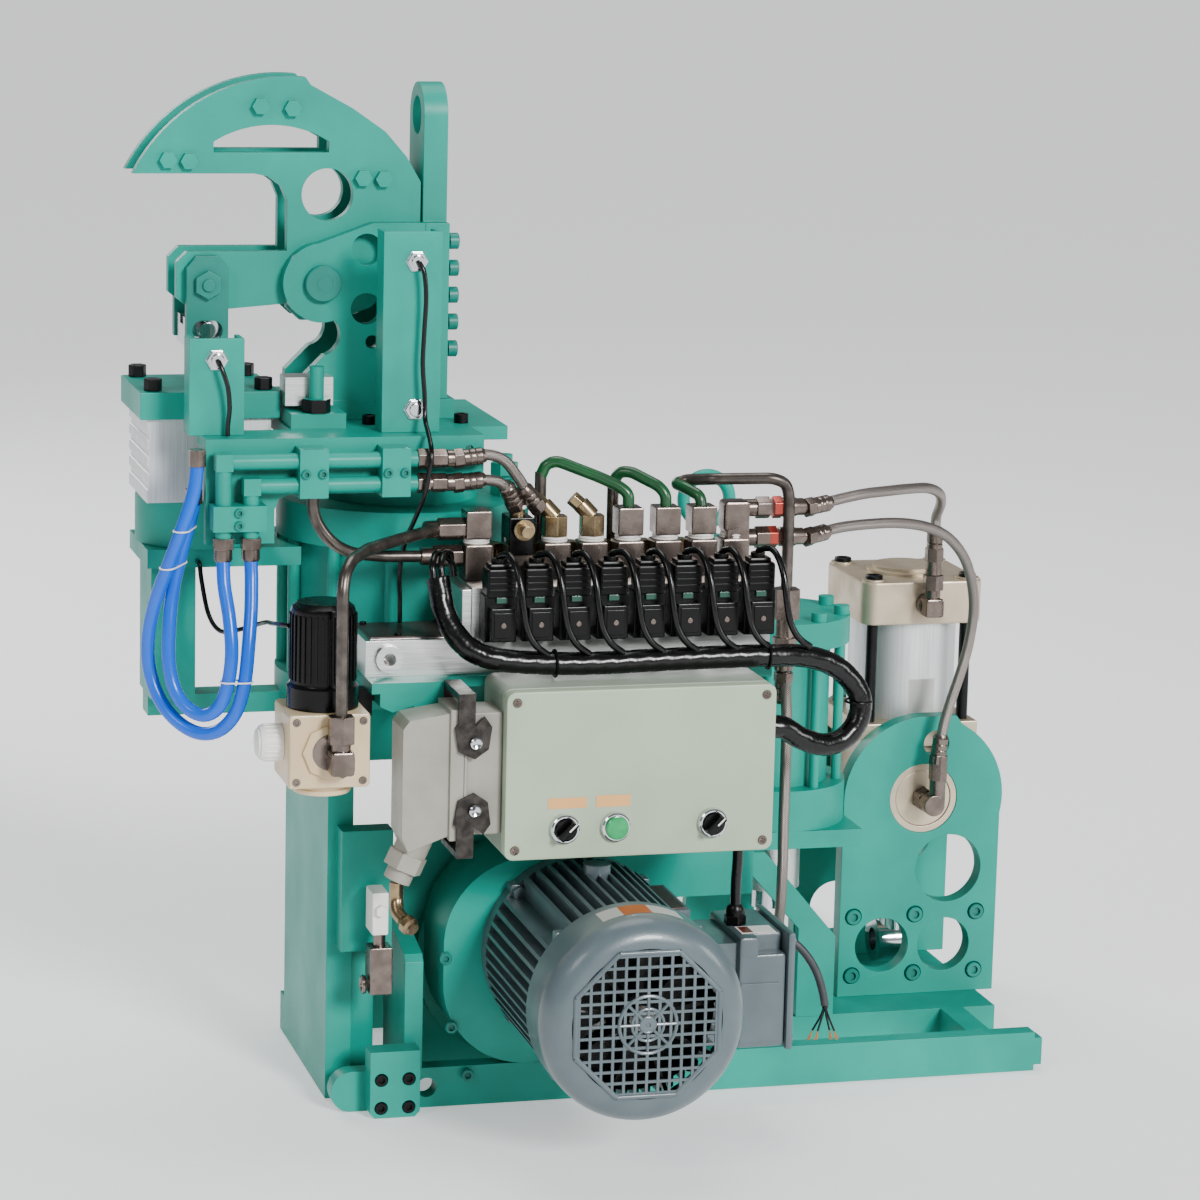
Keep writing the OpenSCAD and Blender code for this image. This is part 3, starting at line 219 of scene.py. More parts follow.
def make_materials():
    """Every finish on the unit, named for what it is."""
    return {
        # brushed-on semi-gloss enamel over steel plate: even teal, faint patches, orange peel
        "teal": coated("semi_gloss_teal_enamel", "#089887", "#068A7A", 90, 2.2, 0.4, 0.08,
                       shine=0.28),
        # the same enamel on machined parts, a little darker where it is thin
        "teal_dark": coated("teal_enamel_thin", "#0A7F72", "#087064", 60, 2.0, 0.38, 0.1,
                            shine=0.35),
        # sprayed enamel over sand casting: pebbled grey blue
        "motor": coated("cast_iron_grey_enamel", "#566469", "#4B595E", 50, 1.6, 0.33, 0.32,
                        coat=0.2),
        # heat-blackened screw steel: near black with a dull sheen
        "oxide": coated("black_oxide_steel", "#121214", "#0A0A0B", 8, 0.7, 0.36, 0.2,
                        metallic=0.5, shine=0.4),
        # bead-blasted and anodised: warm pale metal, very fine speckle
        "champagne": coated("champagne_anodised_aluminium", "#CDBFA8", "#BDAE96", 30, 0.6, 0.42,
                            0.12, metallic=0.75),
        # drawn profile, lines run up the tube
        "tube": brushed("drawn_anodised_aluminium", "#E6E8E8", "#D2D5D6", 1.2, 2, 0.5),
        # milled aluminium, lines run along the bar
        "milled": brushed("milled_aluminium", "#E4E5E3", "#C3C6C5", 0.9, 0, 0.34),
        # ground and hard chromed rod
        "chrome": brushed("hard_chromed_steel", "#DADDE0", "#C4C8CC", 0.5, 2, 0.12, 0.03),
        # varnished copper winding
        "winding": coated("varnished_copper_winding", "#8A4A24", "#5E2F16", 6, 0.8, 0.4, 0.4,
                          metallic=0.4),
        # moulded ABS with a fine spark-eroded grain
        "black": coated("moulded_black_abs", "#050506", "#030303", 25, 0.7, 0.26, 0.06, shine=0.25),
        # glass-filled polyamide coil body: dull black
        "coil": coated("glass_filled_polyamide", "#040405", "#020202", 14, 0.6, 0.32, 0.08,
                       shine=0.2),
        # hobbed gear steel with an oil film
        "gear": brushed("hobbed_gear_steel", "#A39E96", "#6F6A64", 0.7, 1, 0.3),
        # powder coat on sheet steel, fine texture
        "box": coated("light_grey_powder_coat", "#96A392", "#8D9B8A", 80, 1.0, 0.44, 0.12),
        "lid": coated("pale_grey_green_powder_coat", "#A9B9A0", "#A1B198", 90, 1.0, 0.42, 0.10),
        # moulded and polished button cap
        "green": coated("moulded_green_acrylic", "#14A55F", "#0E9453", 12, 3.0, 0.22, 0.03),
        # grey powder coat on pressure die casting
        "hood": coated("grey_coated_die_casting", "#9E9B90", "#928F84", 40, 1.0, 0.42, 0.2),
        # oiled pressed steel: dark with brown tints
        "latch": coated("oiled_pressed_steel", "#4A4642", "#2C2927", 9, 0.8, 0.36, 0.25,
                        metallic=0.8),
        # cream baked enamel on die casting
        "cream": coated("cream_baked_enamel", "#D8C29C", "#CFB78E", 40, 1.2, 0.36, 0.10,
                        coat=0.15),
        # nickel-tinned steel fittings: brown-grey with bright spots
        "fitting": coated("tinned_steel_fitting", "#80746D", "#685D57", 16, 0.8, 0.26, 0.12,
                          metallic=0.92),
        # turned brass, a little tarnished
        "brass": coated("turned_brass", "#A38F6C", "#86735A", 12, 0.8, 0.26, 0.1, metallic=0.95),
        # wrapped PTFE tape: white, soft, waxy
        "tape": coated("ptfe_thread_tape", "#EDEBE6", "#D8D5CE", 3, 0.5, 0.55, 0.4),
        # oversprayed tube: deep green enamel, thin and glossy
        "green_tube": coated("deep_green_enamel", "#0C5228", "#083F1E", 20, 1.5, 0.3, 0.1,
                             coat=0.2),
        # clear lens over an unlit green lamp
        "lens": solid_colour("green_lens", "#0F4A38", 0.15),
        # phosphated hydraulic tube: dark brown-grey, satin
        "dark_tube": coated("phosphated_steel_tube", "#6B635D", "#4A4440", 16, 0.9, 0.3, 0.15,
                            metallic=0.85),
        "braid": braided_wire(),
        "blue": blue_tube(),
        # spiral wrap and cable jackets: extruded black PVC
        "wrap": coated("extruded_black_pvc", "#060607", "#030303", 10, 1.2, 0.22, 0.10,
                       shine=0.4),
        "jacket": coated("extruded_grey_pvc", "#33383B", "#2A2E31", 12, 1.2, 0.4, 0.10),
        # film labels, left blank
        "label": solid_colour("cream_label_film", "#E0A866", 0.5),
        "paper": solid_colour("white_label_film", "#E9E9E4", 0.5),
        "amber": solid_colour("amber_label_film", "#E0813A", 0.5),
        # anodised plates: dark brown grey, satin
        "plate": solid_colour("dark_anodised_plate", "#4B3B3B", 0.4, metallic=0.5),
        # bare stranded copper
        "copper": solid_colour("stranded_copper", "#C77B4A", 0.3, metallic=0.95),
        # moulded white plastic of knobs, straps and switch marks
        "white": solid_colour("moulded_white_abs", "#ECEBE6", 0.35),
        # zinc plated and red dyed coupling nuts
        "sleeve": solid_colour("red_plated_nut", "#A8453A", 0.3, metallic=0.7),
    }


# Mesh helpers


def close(name, bm, material, body="root", stands_for=(), smooth=SHARP):
    """Turns a bmesh into a finished piece that rides on a body."""
    bmesh.ops.recalc_face_normals(bm, faces=bm.faces)
    for face in bm.faces:
        face.smooth = True
    for edge in bm.edges:
        edge.smooth = len(edge.link_faces) == 2 and edge.calc_face_angle(0) < smooth
    mesh = bpy.data.meshes.new(name)
    bm.to_mesh(mesh)
    bm.free()
    made = bpy.data.objects.new(name, mesh)
    bpy.context.scene.collection.objects.link(made)
    even = made.modifiers.new("even_normals", "WEIGHTED_NORMAL")
    even.keep_sharp = True
    materials = material if isinstance(material, (list, tuple)) else [material]
    for key in materials:
        mesh.materials.append(MATERIALS[key])
    if body:
        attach(made, body)
    if stands_for:
        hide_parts(*stands_for)
    return made


def paint(node, key):
    """Gives a CAD node that stays as it is its finish."""
    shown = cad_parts[node]
    shown.data.materials.clear()
    shown.data.materials.append(MATERIALS[key])


def copy_of(node, width=1.0, segments=2, sharp=40):
    """Copy of a CAD node's mesh, merged, with its sharp edges broken by a small bevel in mm."""
    bm = bmesh.new()
    bm.from_mesh(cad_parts[node].data)
    bmesh.ops.remove_doubles(bm, verts=bm.verts, dist=0.00002)
    bmesh.ops.dissolve_degenerate(bm, edges=bm.edges, dist=0.00001)
    bmesh.ops.dissolve_limit(bm, angle_limit=math.radians(0.6), verts=bm.verts, edges=bm.edges)
    if width:
        limit = math.radians(sharp)
        edges = [e for e in bm.edges if len(e.link_faces) == 2 and e.calc_face_angle(0) > limit]
        bmesh.ops.bevel(bm, geom=edges, offset=width * MM, offset_type="OFFSET", affect="EDGES",
                        segments=segments, profile=0.5, material=-1, clamp_overlap=True)
    return bm


def eased(node, material, body, width=1.0):
    """A CAD node shown with broken edges."""
    return close(node + "_eased", copy_of(node, width), material, body, [node])


def turned(axis):
    """Rotation that takes +Z to an axis."""
    return Vector(axis).to_track_quat("Z", "Y").to_matrix().to_4x4()


def rod(bm, low, high, radius, end_radius=None, sides=32, bevel=0.0):
    """Round or polygonal bar between two points, in mm."""
    low, high = Vector(low) * MM, Vector(high) * MM
    span = high - low
    made = bmesh.ops.create_cone(
        bm, cap_ends=True, segments=sides, radius1=radius * MM,
        radius2=(radius if end_radius is None else end_radius) * MM, depth=span.length,
        matrix=Matrix.Translation((low + high) / 2) @ turned(span))
    if bevel:
        ease(bm, made["verts"], bevel)


def ease(bm, verts, width, segments=2):
    """Bevels the sharp edges among some vertices, in mm."""
    chosen = set(verts)
    edges = [e for e in bm.edges if set(e.verts) <= chosen and len(e.link_faces) == 2
             and e.calc_face_angle(0) > SHARP]
    bmesh.ops.bevel(bm, geom=edges, offset=width * MM, offset_type="OFFSET", affect="EDGES",
                    segments=segments, profile=0.5, material=-1, clamp_overlap=True)


def brick(bm, low, high, bevel=0.0):
    """Rectangular block between two corners, in mm."""
    low, high = Vector(low) * MM, Vector(high) * MM
    size = high - low
    made = bmesh.ops.create_cube(bm, size=1.0, matrix=Matrix.Translation((low + high) / 2)
                                 @ Matrix.Diagonal((*size, 1.0)))
    if bevel:
        ease(bm, made["verts"], bevel)


def lathe(bm, profile, centre, axis, steps=64):
    """Closed turned shape from (radius, height) points in mm, spun about an axis."""
    place = Matrix.Translation(Vector(centre) * MM) @ turned(axis)
    verts = [bm.verts.new(place @ Vector((r * MM, 0, h * MM))) for r, h in profile]
    edges = [bm.edges.new(pair) for pair in zip(verts, verts[1:])]
    bmesh.ops.spin(bm, geom=verts + edges, cent=Vector(centre) * MM,
                   axis=(place.to_3x3() @ Vector((0, 0, 1))), angle=math.tau, steps=steps,
                   use_merge=True)
    bmesh.ops.remove_doubles(bm, verts=bm.verts, dist=0.00001)


def torus(bm, centre, axis, major, minor, steps=48, sides=12, angle=math.tau):
    """Ring of round section, in mm."""
    place = Matrix.Translation(Vector(centre) * MM) @ turned(axis)
    section = Matrix.Translation((major * MM, 0, 0)) @ Matrix.Rotation(math.pi / 2, 4, "X")
    ring = bmesh.ops.create_circle(bm, cap_ends=False, segments=sides, radius=minor * MM,
                                   matrix=place @ section)
    edges = list({e for v in ring["verts"] for e in v.link_edges})
    bmesh.ops.spin(bm, geom=ring["verts"] + edges, cent=Vector(centre) * MM,
                   axis=place.to_3x3() @ Vector((0, 0, 1)), angle=angle, steps=steps,
                   use_merge=angle == math.tau)
    bmesh.ops.remove_doubles(bm, verts=bm.verts, dist=0.00001)


def socket_head(bm, base, axis, radius, height):
    """Cap screw head with its hexagon socket, standing on a base point, in mm."""
    inner = radius * 0.55
    lathe(bm, [(0, height - 3), (inner, height - 3), (inner, height), (radius - 0.8, height),
               (radius, height - 0.8), (radius, 0), (0, 0)], base, axis, 24)


def hex_head(bm, base, axis, across, height):
    """Hexagon nut or head with chamfered corners, in mm."""
    top = Vector(base) + Vector(axis).normalized() * height
    rod(bm, base, top, across / 1.732, sides=6, bevel=0.8)


# Smooth tubes along listed routes


def smooth_path(points, step_mm):
    """Even points on the smooth curve through a route in mm; the result is in metres."""
    route = [Vector(p) for p in points]
    route = [2 * route[0] - route[1], *route, 2 * route[-1] - route[-2]]
    fine = []
    for a, b, c, d in zip(route, route[1:], route[2:], route[3:]):
        for i in range(24):
            t = i / 24
            fine.append(0.5 * (2 * b + (c - a) * t + (2 * a - 5 * b + 4 * c - d) * t * t
                               + (3 * b - a - 3 * c + d) * t ** 3))
    fine.append(route[-2])
    lengths = [0.0]
    for a, b in zip(fine, fine[1:]):
        lengths.append(lengths[-1] + (b - a).length)
    count = max(2, round(lengths[-1] / step_mm))
    even, j = [], 0
    for i in range(count + 1):
        want = lengths[-1] * i / count
        while j < len(lengths) - 2 and lengths[j + 1] < want:
            j += 1
        part = (want - lengths[j]) / max(lengths[j + 1] - lengths[j], 1e-9)
        even.append(fine[j].lerp(fine[j + 1], min(max(part, 0), 1)) * MM)
    return even, lengths[-1] * MM


def sweep(bm, path, diameter, sides=24, swell=None):
    """Closed tube round a path in metres, with its UV map: once round, and lengths in diameters."""
    along = bm.loops.layers.uv.get("along") or bm.loops.layers.uv.new("along")
    radius = diameter * MM / 2
    tangents = [(path[min(i + 1, len(path) - 1)] - path[max(i - 1, 0)]).normalized()
                for i in range(len(path))]
    seed = Vector((0, 1, 0)) if abs(tangents[0].y) < 0.8 else Vector((1, 0, 0))
    side = (seed - seed.project(tangents[0])).normalized()
    rings, run, heights = [], 0.0, []
    for i, (point, tangent) in enumerate(zip(path, tangents)):
        side = (side - side.project(tangent)).normalized()
        other = tangent.cross(side)
        run += (point - path[i - 1]).length if i else 0.0
        heights.append(run / (diameter * MM))
        ring = []
        for j in range(sides):
            turn = math.tau * j / sides
            reach = radius * (swell(run / MM, j / sides) if swell else 1.0)
            ring.append(bm.verts.new(point + reach * (math.cos(turn) * side
                                                      + math.sin(turn) * other)))
        rings.append(ring)
    for i in range(len(path) - 1):
        for j in range(sides):
            k = (j + 1) % sides
            face = bm.faces.new((rings[i][j], rings[i][k], rings[i + 1][k], rings[i + 1][j]))
            marks = ((j, i), (j + 1, i), (j + 1, i + 1), (j, i + 1))
            for loop, (a, h) in zip(face.loops, marks):
                loop[along].uv = (a / sides, heights[h])
    bm.faces.new(list(reversed(rings[0])))
    bm.faces.new(rings[-1])


def hose(name, route, diameter, material, node=None,
         sides=24, step=4.0, swell=None, body="root", with_pieces=()):
    """A hose or cable that follows its route and stands for its CAD tube."""
    path, length = smooth_path(route, step)
    bm = bmesh.new()
    sweep(bm, path, diameter, sides, swell)
    made = close(name, bm, material, body, [node] if node else ())
    return made


# Sizes and colours shown in the sidebar


class UnitSettings(bpy.types.PropertyGroup):
    """Sizes of the small visible details."""

    edge: FloatProperty(name="Broken edge", default=1.0, min=0.2, max=2.0,
                        description="Width of the broken edges in millimetres")
    grille_pitch: FloatProperty(name="Grille pitch", default=10.8, min=9.0, max=14.0,
                                description="Distance between grille bars in millimetres")
    valves: IntProperty(name="Valves", description="Solenoid valves in the row",
                        default=VALVE_COUNT, min=1, max=VALVE_COUNT)
    floor: FloatVectorProperty(name="Floor", description="Colour of the studio floor",
                               default=(0.86, 0.86, 0.87), subtype="COLOR")


# Stage


class StageOperator(bpy.types.Operator):
    """Sets the pale floor, the soft lights and the camera"""

    bl_idname = "power_unit.stage"
    bl_label = "Stage and camera"

    def execute(self, context):
        scene = context.scene
        settings = scene.power_unit
        bm = bmesh.new()
        bmesh.ops.create_grid(bm, x_segments=1, y_segments=1, size=80)
        bmesh.ops.translate(bm, vec=(0, 0, -0.0005), verts=bm.verts)
        mesh = bpy.data.meshes.new("studio_floor")
        bm.to_mesh(mesh)
        bm.free()
        floor = bpy.data.objects.new("studio_floor", mesh)
        scene.collection.objects.link(floor)
        # seamless pale paper: soft, without gloss
        paper, _, shader = start("studio_paper", Roughness=0.75,
                                 **{"Emission Strength": 0.5})
        shader.inputs["Base Color"].default_value = (*settings.floor, 1.0)
        shader.inputs["Emission Color"].default_value = (*settings.floor, 1.0)
        mesh.materials.append(paper)

        scene.world = bpy.data.worlds.new("studio")
        scene.world.use_nodes = True
        sky = scene.world.node_tree.nodes["Background"]
        sky.inputs["Color"].default_value = (0.93, 0.96, 1.0, 1.0)
        sky.inputs["Strength"].default_value = 0.2
        # size is the sun's angle in radians, or a lamp's width in metres
        for name, kind, place, size, power in (
            ("key", "SUN", (0.9, -3.0, 1.9), 0.25, 3.6),
            ("window", "AREA", (-2.8, -2.2, 2.6), 1.2, 28),
            ("strip", "AREA", (2.8, -1.8, 1.2), 1.0, 30),
            ("top", "AREA", (0.2, 0.8, 4.0), 2.4, 60),
            ("back", "AREA", (-1.4, 3.4, 2.4), 2.0, 70),
        ):
            light = bpy.data.lights.new(name, kind)
            light.energy = power
            if kind == "SUN":
                light.angle = size
            else:
                light.shape = "DISK"
                light.size = size
            lamp = bpy.data.objects.new(name, light)
            lamp.location = place
            aim = Vector((0, 0, 0.45)) - Vector(place)
            lamp.rotation_euler = aim.to_track_quat("-Z", "Y").to_euler()
            scene.collection.objects.link(lamp)

        turn, tilt, roll = (math.radians(a) for a in (CAMERA_TURN, CAMERA_TILT, CAMERA_ROLL))
        ahead = Vector((math.sin(turn) * math.cos(tilt), math.cos(turn) * math.cos(tilt),
                        -math.sin(tilt)))
        right = Vector((math.cos(turn), -math.sin(turn), 0))
        up = right.cross(ahead)
        tilted = right * math.cos(roll) + up * math.sin(roll)
        upright = up * math.cos(roll) - right * math.sin(roll)
        lens = bpy.data.cameras.new("camera")
        lens.sensor_width = SENSOR_WIDTH
        lens.lens = CAMERA_LENS
        camera = bpy.data.objects.new("camera", lens)
        axes = Matrix((tilted, upright, -ahead)).transposed().to_4x4()
        camera.matrix_world = Matrix.Translation(CAMERA_PLACE) @ axes
        scene.collection.objects.link(camera)
        scene.camera = camera
        return {"FINISHED"}


# Hoses and cables


BLUE_OUTER = [(-421, -32, 630), (-425, -34, 604), (-436, -34, 570), (-447, -24, 534),
              (-456, -10, 500), (-461, 0, 466), (-460, 2, 434), (-451, -6, 405),
              (-436, -20, 386), (-418, -36, 378), (-401, -50, 384), (-388, -60, 403),
              (-381, -64, 432), (-377, -60, 464), (-373, -50, 496), (-371, -40, 524),
              (-371, -35, 545)]
BLUE_INNER = [(-421, -12, 592), (-425, -8, 570), (-433, -8, 540), (-440, -10, 508),
              (-444, -16, 476), (-445, -20, 444), (-440, -26, 418), (-429, -36, 402),
              (-415, -48, 398), (-403, -58, 409), (-396, -62, 432), (-393, -62, 460),
              (-394, -54, 490), (-397, -42, 520), (-397, -35, 545)]
HEAD = [(182, -20, 578), (214, -6, 582), (245, 10, 584), (279, 35, 582), (309, 62, 579),
        (340, 92, 574), (362, 118, 564), (373, 141, 550), (375, 158, 533), (375, 160, 520.6)]
TRUNNION = [(182, -20, 549), (216, -2, 553), (253, 14, 553), (290, 32, 550), (325, 52, 542),
            (355, 70, 528), (380, 88, 504), (396, 104, 474), (404, 116, 442), (403, 124, 405),
            (397, 128, 375), (389, 131, 345), (382, 131, 318), (378, 131, 288)]
LEFT_UPPER = [(-170, -35, 634), (-148, -36, 637), (-130, -34, 631), (-115, -29, 614),
              (-104, -24, 598), (-96, -21, 588)]
LEFT_LOWER = [(-170, -35, 611), (-150, -36, 613), (-134, -34, 610), (-123, -28, 600),
              (-117, -23, 590)]
DROP = [(155, -30, 436), (156, -34, 405), (157, -39, 370), (157, -40, 335), (157, -40, 300),
        (157, -40, 265), (158, -38, 230), (159, -34, 200), (160, -28, 174), (163, -14, 154),
        (168, 6, 144), (174, 26, 142)]
LOOM = [(-204, -86, 530), (-198, -98, 494), (-180, -112, 468), (-150, -118, 457),
        (-98, -118, 452), (-52, -118, 451), (-7, -118, 452), (55, -118, 453), (110, -118, 453),
        (150, -114, 450), (183, -110, 437), (205, -110, 412), (205, -113, 388),
        (190, -117, 370), (168, -121, 365), (144, -124, 373), (124, -127, 385),
        (104.4, -127, 385)]
SUPPLY = [(82, -130, 214), (82, -130, 236), (83, -130, 258), (83, -130, 277)]
TAIL = [(127.6, -110, 172), (138, -110, 172), (148, -111, 168), (160, -113, 156),
        (170, -115, 140), (176, -118, 122), (179, -120, 106)]
LEFT_SENSOR = [(-397, -5.5, 724), (-394, -9, 716), (-389, -10, 700), (-387, -8, 680),
               (-388, -5, 664), (-388, -5, 653.8)]
RIGHT_SENSOR = [(-208, -5.5, 815), (-204, -9, 806), (-202, -10, 783), (-203, -9, 750),
                (-204, -9, 720), (-202, -10, 690), (-202, -14, 668), (-202, -30, 656),
                (-203, -48, 642), (-206, -50, 620), (-209, -46, 600), (-213, -30, 578),
                (-218, -8, 550), (-221, 2, 520), (-221, -1, 495), (-221, -2, 470.8)]
FILTER_CABLE = [(-349, -112, 494), (-355, -100, 493), (-357, -70, 488), (-359, -50, 485),
                (-366, -28, 478), (-380, -10, 470), (-392, 10, 466), (-399, 32, 478),
                (-402, 54, 506), (-402, 66, 520), (-402, 78.6, 520)]


def spiral(run, share):
    """Raised turns of the spiral wrap, one turn in 9 mm."""
    wave = math.sin(math.tau * (run / 9 - share))
    return 0.93 + 0.07 * min(1.0, 2.2 * abs(wave))


def ferrules(name, ends, body="root"):
    """Crimped sleeve and swivel nut on hose ends: (end, towards the hose) pairs in mm."""
    bm = bmesh.new()
    for end, towards in ends:
        end, way = Vector(end), Vector(towards).normalized()
        lathe(bm, [(0, 0), (7.4, 0), (8.2, 0.8), (8.2, 5), (7.6, 6), (8.2, 7), (8.2, 11),
                   (7.6, 12), (8.2, 13), (8.2, 18), (7.4, 19), (6.2, 22), (0, 22)],
              end, way, 32)
        hex_head(bm, end - way * 9, way, 17, 9.5)
    return close(name, bm, "fitting", body)


class HoseOperator(bpy.types.Operator):
    """Lays every hose, loom and cable along its measured route"""

    bl_idname = "power_unit.hoses"
    bl_label = "Hoses and cables"

    def execute(self, context):
        hose("blue_hose_outer_tube", BLUE_OUTER, AIR_TUBE, "blue",
             "blue_hose_outer")
        hose("blue_hose_inner_tube", BLUE_INNER, AIR_TUBE, "blue",
             "blue_hose_inner")
        for name, route, node in (
            ("trunnion_braided_hose", TRUNNION, "trunnion_hose"),
            ("left_braided_hose_upper", LEFT_UPPER, "left_hose_upper"),
            ("left_braided_hose_lower", LEFT_LOWER, "left_hose_lower"),
            ("drop_braided_hose", DROP, "drop_hose"),
        ):
            hose(name, route, BRAIDED_HOSE, "braid", node)

        # this hose runs between the manifold and the tilting cylinder and is built in place on no
        # body
        path, length = smooth_path(HEAD, 4.0)
        bm = bmesh.new()
        sweep(bm, path, BRAIDED_HOSE)
        head = close("head_braided_hose", bm, "braid", None, ["head_hose"])
        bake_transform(head)

        hose("valve_loom_wrap", LOOM, 22, "wrap", "valve_loom", step=2.0,
             swell=spiral)
        hose("motor_supply_lead", SUPPLY, 10, "wrap", "motor_supply_cable")
        for name, route, node in (
            ("left_sensor_lead", LEFT_SENSOR, "sensor_cables"),
            ("right_sensor_lead", RIGHT_SENSOR, None),
            ("filter_sensor_lead", FILTER_CABLE, None),
        ):
            hose(name, route, SENSOR_LEAD, "wrap", node, sides=12)
        hose("motor_tail_lead", TAIL, 8, "jacket", "motor_tail_cable",
             with_pieces=[self.stripped_ends()])
        # two leads run from the mouth of the wrap to the end plate of the valve row
        for k, shift in enumerate((-4, 4)):
            route = [(-204 + shift, -86, 528), (-204 + shift, -82, 541), (-199 + shift, -70, 549),
                     (-190 + shift, -58, 548), (-183, -50, 538), (-180, -48, 524)]
            hose(f"loom_start_lead_{k + 1}", route, VALVE_LEAD, "wrap",
                 sides=12, step=3.0)
        self.valve_leads()
        self.ties()
        return {"FINISHED"}

    def stripped_ends(self):
        """Fanned cores with bare copper tips at the end of the motor tail."""
        end = Vector(TAIL[-1])
        cores = [(dx, dy, end + Vector((dx, dy, -24 - 3 * (i % 2))))
                 for i, (dx, dy) in enumerate(((-13, -3), (-5, 4), (4, -5), (11, 2)))]
        bm = bmesh.new()
        sweep(bm, [v * MM for v in (end + Vector((0, 0, 2)), end - Vector((0, 0.5, 3)))], 6.0)
        for dx, dy, tip in cores:
            mid = end + Vector((dx * 0.35, dy * 0.35, -11))
            path, _ = smooth_path([end, mid, tip], 3)
            sweep(bm, path, 2.2, 8)
        close("stripped_cores", bm, "wrap", "root")
        bm = bmesh.new()
        for dx, dy, tip in cores:
            for spread in (-1.6, 0, 1.6):
                low = tip + Vector((dx * 0.3 + spread, dy * 0.2 + spread * 0.4, -9))
                sweep(bm, [tip * MM, low * MM], 0.9, 6)
        return close("stripped_copper_tips", bm, "copper", "root")

    def valve_leads(self):
        """A short looping lead from the top of each valve down into the wrapped loom."""
        for i in range(VALVE_COUNT):
            x = VALVE_FIRST_X + VALVE_PITCH * i
            lean = 9 if i % 2 else 6
            route = [(x, -80, 545), (x + 1, -84, 549), (x + lean, -94, 551),
                     (x + lean + 4, -106, 543), (x + lean + 7, -115, 526),
                     (x + lean + 9, -119, 505), (x + lean + 13, -121, 484),
                     (x + lean + 21, -122, 470), (x + lean + 33, -122, 461)]
            hose(f"valve_lead_{i + 1}", route, VALVE_LEAD, "wrap", sides=12,
                 step=3.0)

    def ties(self):
        """Cable ties round the pair of blue hoses and the loom."""
        bm = bmesh.new()
        for centre, axis in (((205, -110, 404), (0, 0, 1)), ((110, -118, 453), (1, 0, 0)),
                             ((-98, -118, 452), (1, 0, 0))):
            torus(bm, centre, axis, 12.4, 1.3, steps=32, sides=8)
        close("cable_ties", bm, "coil", "root")
        # each strap runs round one blue hose, over to the other and back
        bm = bmesh.new()
        for low, high in (((-436, -34, 570), (-425, -8, 570)), ((-447, -24, 534), (-434, -8, 536)),
                          ((-396, -62, 432), (-381, -64, 432))):
            low, high = Vector(low), Vector(high)
            across = (high - low).normalized()
            side = Vector((0, 0, 1)).cross(across).normalized()
            loop = []
            for centre, start_turn in ((high, -90), (low, 90)):
                for k in range(9):
                    turn = math.radians(start_turn + 22.5 * k)
                    loop.append((centre + (across * math.cos(turn) + side * math.sin(turn))
                                 * 7.4) * MM)
            sweep(bm, [*loop, loop[0], loop[1]], 1.6, 8)
        close("hose_straps", bm, "white", "root")


# Base, plates and screws


PLATES = ("base_frame", "table_plate", "manifold_support", "hose_plate", "drum_housing",
          "cheek_plates", "sensor_brackets", "lifting_lug", "gear_case", "stroke_cylinder",
          "jaw_cylinder", "trunnion_plates")


def islands(bm):
    """The separate closed shapes in a bmesh, each a list of its faces."""
    left, found = set(bm.faces), []
    while left:
        group, reached = [], [left.pop()]
        while reached:
            face = reached.pop()
            group.append(face)
            for edge in face.edges:
                for other in edge.link_faces:
                    if other in left:
                        left.remove(other)
                        reached.append(other)
        found.append(group)
    return found


def middle(faces):
    """Centre of the box round some faces, in mm."""
    points = [v.co for f in faces for v in f.verts]
    low = Vector([min(p[i] for p in points) for i in range(3)])
    high = Vector([max(p[i] for p in points) for i in range(3)])
    return (low + high) / 2 / MM


def eased_parts(node, finishes, body, width, choose, each_face=False):
    """A CAD node with broken edges, whose separate shapes or faces have different finishes."""
    bm = copy_of(node, width)
    for group in [[f] for f in bm.faces] if each_face else islands(bm):
        index = choose(middle(group))
        for face in group:
            face.material_index = index
    return close(node + "_eased", bm, finishes, body, [node])


class PlateOperator(bpy.types.Operator):
    """Enamelled beams, plates and housings with their edges broken"""

    bl_idname = "power_unit.plates"
    bl_label = "Base, plates and housings"

    def execute(self, context):
        width = context.scene.power_unit.edge
        # finishes, the rule that picks one from a centre in mm, and whether it goes by face
        mixed = {
            # the ring in the trunnion bore is champagne: a light metal bearing, and its pale colour
            # is partly a painted highlight standing in for the lit inner wall of the bore
            "trunnion_plates": (["teal", "champagne"], lambda c: int(abs(c.z - 236) < 1), False),
            "manifold_support": (["teal", "oxide"], lambda c: int(c.x < -255), False),
            "drum_housing": (["teal", "milled", "oxide"], self.drum, True),
            "stroke_cylinder": (["teal", "milled"], lambda c: int(c.z < 225), False),
            "jaw_cylinder": (["teal", "tube", "oxide"], self.jaw_end, False),
            "sensor_brackets": (["teal", "chrome"], lambda c: int(c.y < 3.9), True),
        }
        for node in PLATES:
            if node in mixed:
                finishes, rule, by_face = mixed[node]
                eased_parts(node, finishes, "root", width, rule, by_face)
            else:
                eased(node, "teal", "root", width)
        return {"FINISHED"}

    def drum(self, c):
        """Finish of a face of the drum housing: bare clamp bar, black nuts, enamel elsewhere."""
        if c.x > -270 or c.z < 667.1:
            return 0
        if 57.9 < c.y < 88.1 and c.x < -275.9:
            return 1 if c.z > 671.9 else 0
        return 2 if c.y < 60 and c.z < 680.1 else 0

    def jaw_end(self, c):
        """Finish of a shape of the jaw cylinder, from its centre."""
        if c.z > 685:
            return 2
        return 1 if 600 < c.z < 640 else 0


